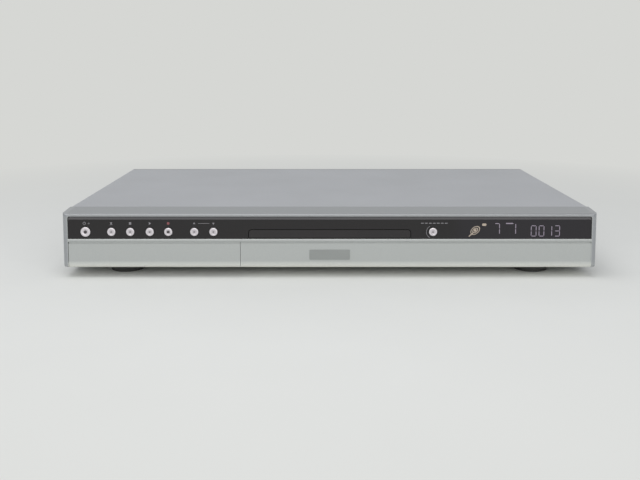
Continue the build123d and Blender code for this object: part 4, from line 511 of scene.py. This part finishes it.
def ink_ring(x, z, radius, line, squash=1.0, tilt=0.0):
    """Thin ring facing the front: a disc with its two faces inset and the middle removed."""
    disc = ink_disc(x, z, radius, sides=36)
    edit_faces(disc, lambda normal: abs(normal.z) > FACING)
    bpy.ops.mesh.inset(thickness=line * MM)
    bpy.ops.mesh.bridge_edge_loops()
    bpy.ops.object.mode_set(mode="OBJECT")
    disc.scale = (1.0, squash, 1.0)
    disc.rotation_euler = (math.pi / 2, tilt, 0.0)
    return disc


print("print helpers ready")

# %% Signs above the buttons
BUTTON_X = {"power": -196.4, "open_close": -175.6, "stop": -160.4, "play": -144.7, "record": -129.8,
            "channel_down": -108.9, "channel_up": -93.5, "select": 83.1}
BUTTON_Z = 37.7
SIGN_Z = 44.6
RING_X, CROSS_X, LINK_X = -197.2, -193.6, -101.2
DASH_X, DASH_STEP = 74.4, 3.2
ink = printed_ink("pale_screen_ink", "#8f8c91")
red_ink = printed_ink("red_screen_ink", "#8d5054")


def lay_on(piece, finish, body):
    """Finish, slot and body of a printed piece."""
    dress(piece, finish)
    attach(piece, body)


def sign(name, parts, finish=ink):
    """One printed sign of joined patches, laid on the window."""
    lay_on(one_piece(parts, name), finish, "case")


sign("power_sign", [ink_ring(RING_X, SIGN_Z, 1.2, 0.32), ink_bar(RING_X, SIGN_Z + 0.9, 0.34, 1.5),
                    ink_bar(CROSS_X, SIGN_Z, 1.5, 0.34), ink_bar(CROSS_X, SIGN_Z, 0.34, 1.5)])
sign("eject_sign", [ink_disc(BUTTON_X["open_close"], SIGN_Z + 0.2, 1.2, sides=3, turn=math.pi),
                    ink_bar(BUTTON_X["open_close"], SIGN_Z - 1.0, 2.2, 0.4)])
sign("stop_sign", [ink_bar(BUTTON_X["stop"], SIGN_Z, 1.9, 1.9)])
sign("play_sign", [ink_disc(BUTTON_X["play"], SIGN_Z, 1.3, sides=3, turn=math.pi / 2)])
sign("record_sign", [ink_disc(BUTTON_X["record"], SIGN_Z, 1.1)], red_ink)
sign("channel_down_sign", [ink_disc(BUTTON_X["channel_down"], SIGN_Z, 1.1, sides=3)])
sign("channel_up_sign", [ink_disc(BUTTON_X["channel_up"], SIGN_Z, 1.1, sides=3, turn=math.pi)])
sign("channel_link_line", [ink_bar(LINK_X, SIGN_Z, 9.0, 0.3)])
sign("select_sign", [ink_bar(DASH_X + DASH_STEP * i, SIGN_Z + 0.2, 2.2, 0.6) for i in range(7)])
print("signs laid on the window")

# %% [markdown]
# ## The lit display
# A display tube shines through the smoked window. Its digits are seven-segment figures, and each segment has
# pointed ends so that it meets its neighbours at a slant. Extruding the two ends of a bar and pinching them
# gives that shape. The figures could glow behind clear acrylic, but here the acrylic is opaque, so they are
# drawn on its face.

# %% Display figures
SEGMENTS = {"0": "abcdef", "1": "bc", "3": "abgcd", "7": "abc"}
SEGMENT_GAP = 0.5
CLOCK_X, CLOCK_STEP = 164.0, 6.3
CLOCK = {"z": 38.5, "width": 3.9, "height": 8.4, "line": 0.6}
CHANNEL = {"z": 40.2, "height": 8.6, "line": 0.62}
SEVEN_X, ONE_X = 134.6, 147.2
lit = printed_ink("lit_display_segments", "#988d9c", glow=0.12)


def figure(mark, x, z, width, height, line):
    """Bars of one seven-segment figure whose middle is at x, z."""
    w = width / 2
    h = height / 4
    places = {"a": (0, 2 * h, 0), "g": (0, 0, 0), "d": (0, -2 * h, 0), "b": (w, h, 1), "c": (w, -h, 1),
              "e": (-w, -h, 1), "f": (-w, h, 1)}
    bars = []
    for letter in SEGMENTS[mark]:
        dx, dz, upright = places[letter]
        length = (height / 2 if upright else width) - SEGMENT_GAP
        bars.append(ink_bar(x + dx, z + dz, length, line, turn=math.pi / 2 * upright, point=line / 2))
    return bars


clock_bars = []
for index, mark in enumerate("0013"):
    clock_bars += figure(mark, CLOCK_X + CLOCK_STEP * index, **CLOCK)
clock = one_piece(clock_bars, "display_clock")
lay_on(clock, lit, "case")
channel_bars = figure("7", SEVEN_X, width=3.8, **CHANNEL) + figure("1", ONE_X, width=4.6, **CHANNEL)
channel_bars += [ink_bar(144.6, 44.6, 6.2, 0.9, point=0.45)]
channel = one_piece(channel_bars, "display_channel")
lay_on(channel, lit, "case")
print("figures:", len(clock.data.polygons) + len(channel.data.polygons), "faces")

# %% Disc sign of the display
DISC_X, DISC_Z = 117.0, 38.9
LEAN = {"squash": 0.66, "tilt": -0.7}
warm_lit = printed_ink("lit_disc_sign", "#b3a596", glow=0.15)
disc_sign = one_piece([ink_ring(DISC_X, DISC_Z, 4.4, 0.7, **LEAN),
                       ink_ring(DISC_X, DISC_Z, 2.7, 0.8, **LEAN),
                       ink_disc(DISC_X, DISC_Z, 1.1),
                       ink_bar(113.6, 35.4, 4.4, 0.8, turn=LEAN["tilt"])], "display_disc_sign")
lay_on(disc_sign, warm_lit, "case")
disc_dot = one_piece([ink_bar(124.2, 43.6, 3.6, 2.0, point=0.5)], "display_disc_dot")
lay_on(disc_dot, warm_lit, "case")
print("disc sign laid")

# %% [markdown]
# ## Centres of the buttons
# Each button has a small cap in the middle of its dish, dark on power and record and grey on the others. It
# could be a darker spot in the button's material, but a cap catches the light on its own rim. A cylinder is
# inset and pulled forward three times to dome it, and it rides on its button and goes in with it.

# %% Button centres
CAP_Y, CAP_DEPTH = -136.85, 0.5
DOME_INSET = 0.25
DOME_STEPS = (0.08, 0.06, 0.04)
GREY_CAP = 0.85


def button_centre(name, x, radius, finish, body):
    """Small domed cap in the dish of a button: a round patch whose front is inset and pulled forward."""
    rest_all()
    bpy.ops.mesh.primitive_cylinder_add(vertices=32, radius=radius * MM, depth=CAP_DEPTH * MM,
                                        location=(x * MM, CAP_Y * MM, BUTTON_Z * MM),
                                        rotation=(math.pi / 2, 0.0, 0.0))
    cap = settle(bpy.context.object, name)
    edit_faces(cap, lambda normal: normal.y < -FACING)
    for rise in DOME_STEPS:
        bpy.ops.mesh.inset(thickness=radius * DOME_INSET * MM)
        bpy.ops.transform.translate(value=(0.0, -rise * MM, 0.0))
    bpy.ops.object.mode_set(mode="OBJECT")
    bpy.ops.object.shade_smooth_by_angle(angle=math.radians(35))
    lay_on(cap, finish, body)


centre_abs = moulded_plastic("button_centre_abs", "#3a3638", "#454043", 0.3)
button_centre("power_button_centre", BUTTON_X["power"], 1.35, centre_abs, "power_button")
button_centre("record_button_centre", BUTTON_X["record"], 1.2, centre_abs, "record_button")
grey_abs = moulded_plastic("button_centre_grey_abs", "#837e82", "#918c90", 0.3)
for button in ("open_close", "stop", "play", "channel_down", "channel_up", "select"):
    body = button + "_button"
    button_centre(body + "_centre", BUTTON_X[button], GREY_CAP, grey_abs, body)
print("button centres made")

# %% Arc beside the select button
# The arc is a row of short bars spun about the button's middle, each a little long so that they overlap.
ARC_RADIUS, ARC_LINE, ARC_BARS, OVERLAP = 5.3, 0.35, 14, 1.05
ARC_START, ARC_END = math.radians(120), math.radians(240)
arc_bars = []
for index in range(ARC_BARS):
    angle = ARC_START + (ARC_END - ARC_START) * (index + 0.5) / ARC_BARS
    length = ARC_RADIUS * (ARC_END - ARC_START) / ARC_BARS * OVERLAP
    arc_bars.append(ink_bar(BUTTON_X["select"] + ARC_RADIUS * math.cos(angle),
                            BUTTON_Z + ARC_RADIUS * math.sin(angle), length, ARC_LINE,
                            turn=math.pi / 2 - angle))
sign("select_button_arc", arc_bars)
print("arc made")

# %% [markdown]
# ## Printed outlines on the rear panel
# The rear panel has plain outlines round its groups of sockets and arrows for in and out. Each outline is
# four joined bars, which is simpler than cutting a hole in a plate and leaves no ink inside the frame.

# %% Rear panel outlines
REAR_INK_Y = REAR_Y + INK_THICK / 4
dark_ink = printed_ink("dark_screen_ink", "#303236")


def outline_box(name, x0, x1, z0, z1, line=0.4):
    """Four thin bars that frame a group of sockets."""
    x, z = (x0 + x1) / 2, (z0 + z1) / 2
    wide, tall = x1 - x0, z1 - z0
    bars = [ink_bar(x, z0, wide, line, REAR_INK_Y), ink_bar(x, z1, wide, line, REAR_INK_Y),
            ink_bar(x0, z, line, tall, REAR_INK_Y), ink_bar(x1, z, line, tall, REAR_INK_Y)]
    return one_piece(bars, name)


for name, x0, x1, z0, z1 in (("line_sockets_outline", 108.5, 153.5, 16.5, 45.0),
                             ("component_sockets_outline", 58.5, 103.5, 16.5, 31.0),
                             ("aerial_sockets_outline", 157.5, 196.5, 20.0, 40.5),
                             ("digital_sockets_outline", 51.5, 103.5, 31.6, 45.0)):
    lay_on(outline_box(name, x0, x1, z0, z1), dark_ink, "case")
for name, x, z, turn in (("line_in_arrow", 123.5, 46.3, 0.0), ("line_out_arrow", 138.5, 46.3, math.pi),
                         ("aerial_in_arrow", 167.0, 42.0, 0.0), ("aerial_out_arrow", 187.0, 42.0, math.pi)):
    arrow = one_piece([ink_disc(x, z, 0.9, REAR_INK_Y, sides=3, turn=turn)], name)
    lay_on(arrow, dark_ink, "case")
print("rear outlines printed")

# %% [markdown]
# ## The studio
# A pale floor runs back under a pale sky. Near the machine the floor is a matt surface that takes its shadow,
# and farther out it turns into the plain background colour for what the camera and reflections see. A real
# studio curves the floor up into a wall; blending to one colour hides the horizon from every side instead.

# %% Floor
BACKDROP = "#d6d7d4"
# Metres from the middle of the machine between which the floor turns into the backdrop.
FADE = (0.30, 0.75)


def seen_rays(tree):
    """One for what the camera, a reflection or glass sees, and nought for the light on the machine."""
    path = add(tree, "ShaderNodeLightPath").outputs
    seen = path["Is Camera Ray"]
    for kind in ("Is Glossy Ray", "Is Transmission Ray"):
        seen = add(tree, MATHS, {0: seen, 1: path[kind]}, "Value", operation="MAXIMUM")
    return seen


rest_all()
bpy.ops.mesh.primitive_plane_add(size=12.0, location=(0.0, 0.0, 0.0))
floor = settle(bpy.context.object, "studio_floor")
floor_paint, tree, place = start_finish("studio_floor_paint")
mottle = grain(tree, place, 90.0)
paint_tone = add(tree, MIX, {FACTOR: mottle, FROM: linear("#e4e5e2"), TO: linear("#e7e8e5")}, **COLOURS)
matt = add(tree, "ShaderNodeBsdfDiffuse", {"Color": paint_tone}, "BSDF")
plain = add(tree, "ShaderNodeEmission", {"Color": linear(BACKDROP), "Strength": 1.0}, "Emission")
distance = add(tree, "ShaderNodeVectorMath", {0: place}, "Value", operation="LENGTH")
far = add(tree, RANGE, {"Value": distance, "From Min": FADE[0], "From Max": FADE[1]}, "Result")
factor = add(tree, MATHS, {0: far, 1: seen_rays(tree)}, "Value", operation="MULTIPLY")
blend = add(tree, "ShaderNodeMixShader", {0: factor, 1: matt, 2: plain}, "Shader")
add(tree, "ShaderNodeOutputMaterial", {"Surface": blend})
dress(floor, floor_paint)
print("floor laid")

# %% World
world = bpy.data.worlds.new("studio_world")
bpy.context.scene.world = world
world.use_nodes = True
tree = world.node_tree
tree.nodes.clear()
soft = add(tree, "ShaderNodeBackground", {"Color": linear("#f4f6fa"), "Strength": 0.47}, "Background")
plain = add(tree, "ShaderNodeBackground", {"Color": linear(BACKDROP), "Strength": 1.0}, "Background")
blend = add(tree, "ShaderNodeMixShader", {0: seen_rays(tree), 1: soft, 2: plain}, "Shader")
add(tree, "ShaderNodeOutputWorld", {"Surface": blend})
print("world set")

# %% [markdown]
# ## Lamps
# Two large softboxes light the machine, one high over it and a wider one low in front, as for a product
# picture. Small lamps would draw hard shadows and hot spots on the lacquer.

# %% Lamps
def softbox(name, place, aim, size, watts):
    """White rectangular lamp that faces a point."""
    lamp = bpy.data.lights.new(name, "AREA")
    lamp.shape = "RECTANGLE"
    lamp.size, lamp.size_y = size
    lamp.energy = watts
    holder = bpy.data.objects.new(name, lamp)
    bpy.context.scene.collection.objects.link(holder)
    holder.location = place
    reach = [a - b for a, b in zip(aim, place)]
    flat = math.hypot(reach[0], reach[1])
    holder.rotation_euler = (math.atan2(flat, -reach[2]), 0.0, math.atan2(-reach[0], reach[1]))


softbox("top_softbox", (-0.3, -0.4, 1.5), (0.0, 0.0, 0.0), (1.6, 1.2), 9.5)
softbox("front_softbox", (0.1, -1.6, 0.75), (0.0, -0.1, 0.03), (2.6, 1.2), 14.5)
print("lamps placed")

# %% [markdown]
# ## The camera
# The camera looks from a little above the machine with a normal lens, nearly level, so the upright edges stay
# parallel. A shift does part of that and a small tilt the rest. Tilting alone would make the sides converge.

# %% Camera
CAMERA_DIP = 5.85
camera_data = bpy.data.cameras.new("photo_camera")
camera = bpy.data.objects.new("photo_camera", camera_data)
bpy.context.scene.collection.objects.link(camera)
camera_data.sensor_width = 36.0
camera_data.lens = 48.3
camera_data.shift_y = -0.15
camera.location = (-7.8 * MM, -816.4 * MM, 178.4 * MM)
camera.rotation_euler = (math.radians(90.0 - CAMERA_DIP), 0.0, 0.0)
bpy.context.scene.camera = camera
bpy.context.scene.view_settings.view_transform = "Standard"
print("camera lens:", camera_data.lens)
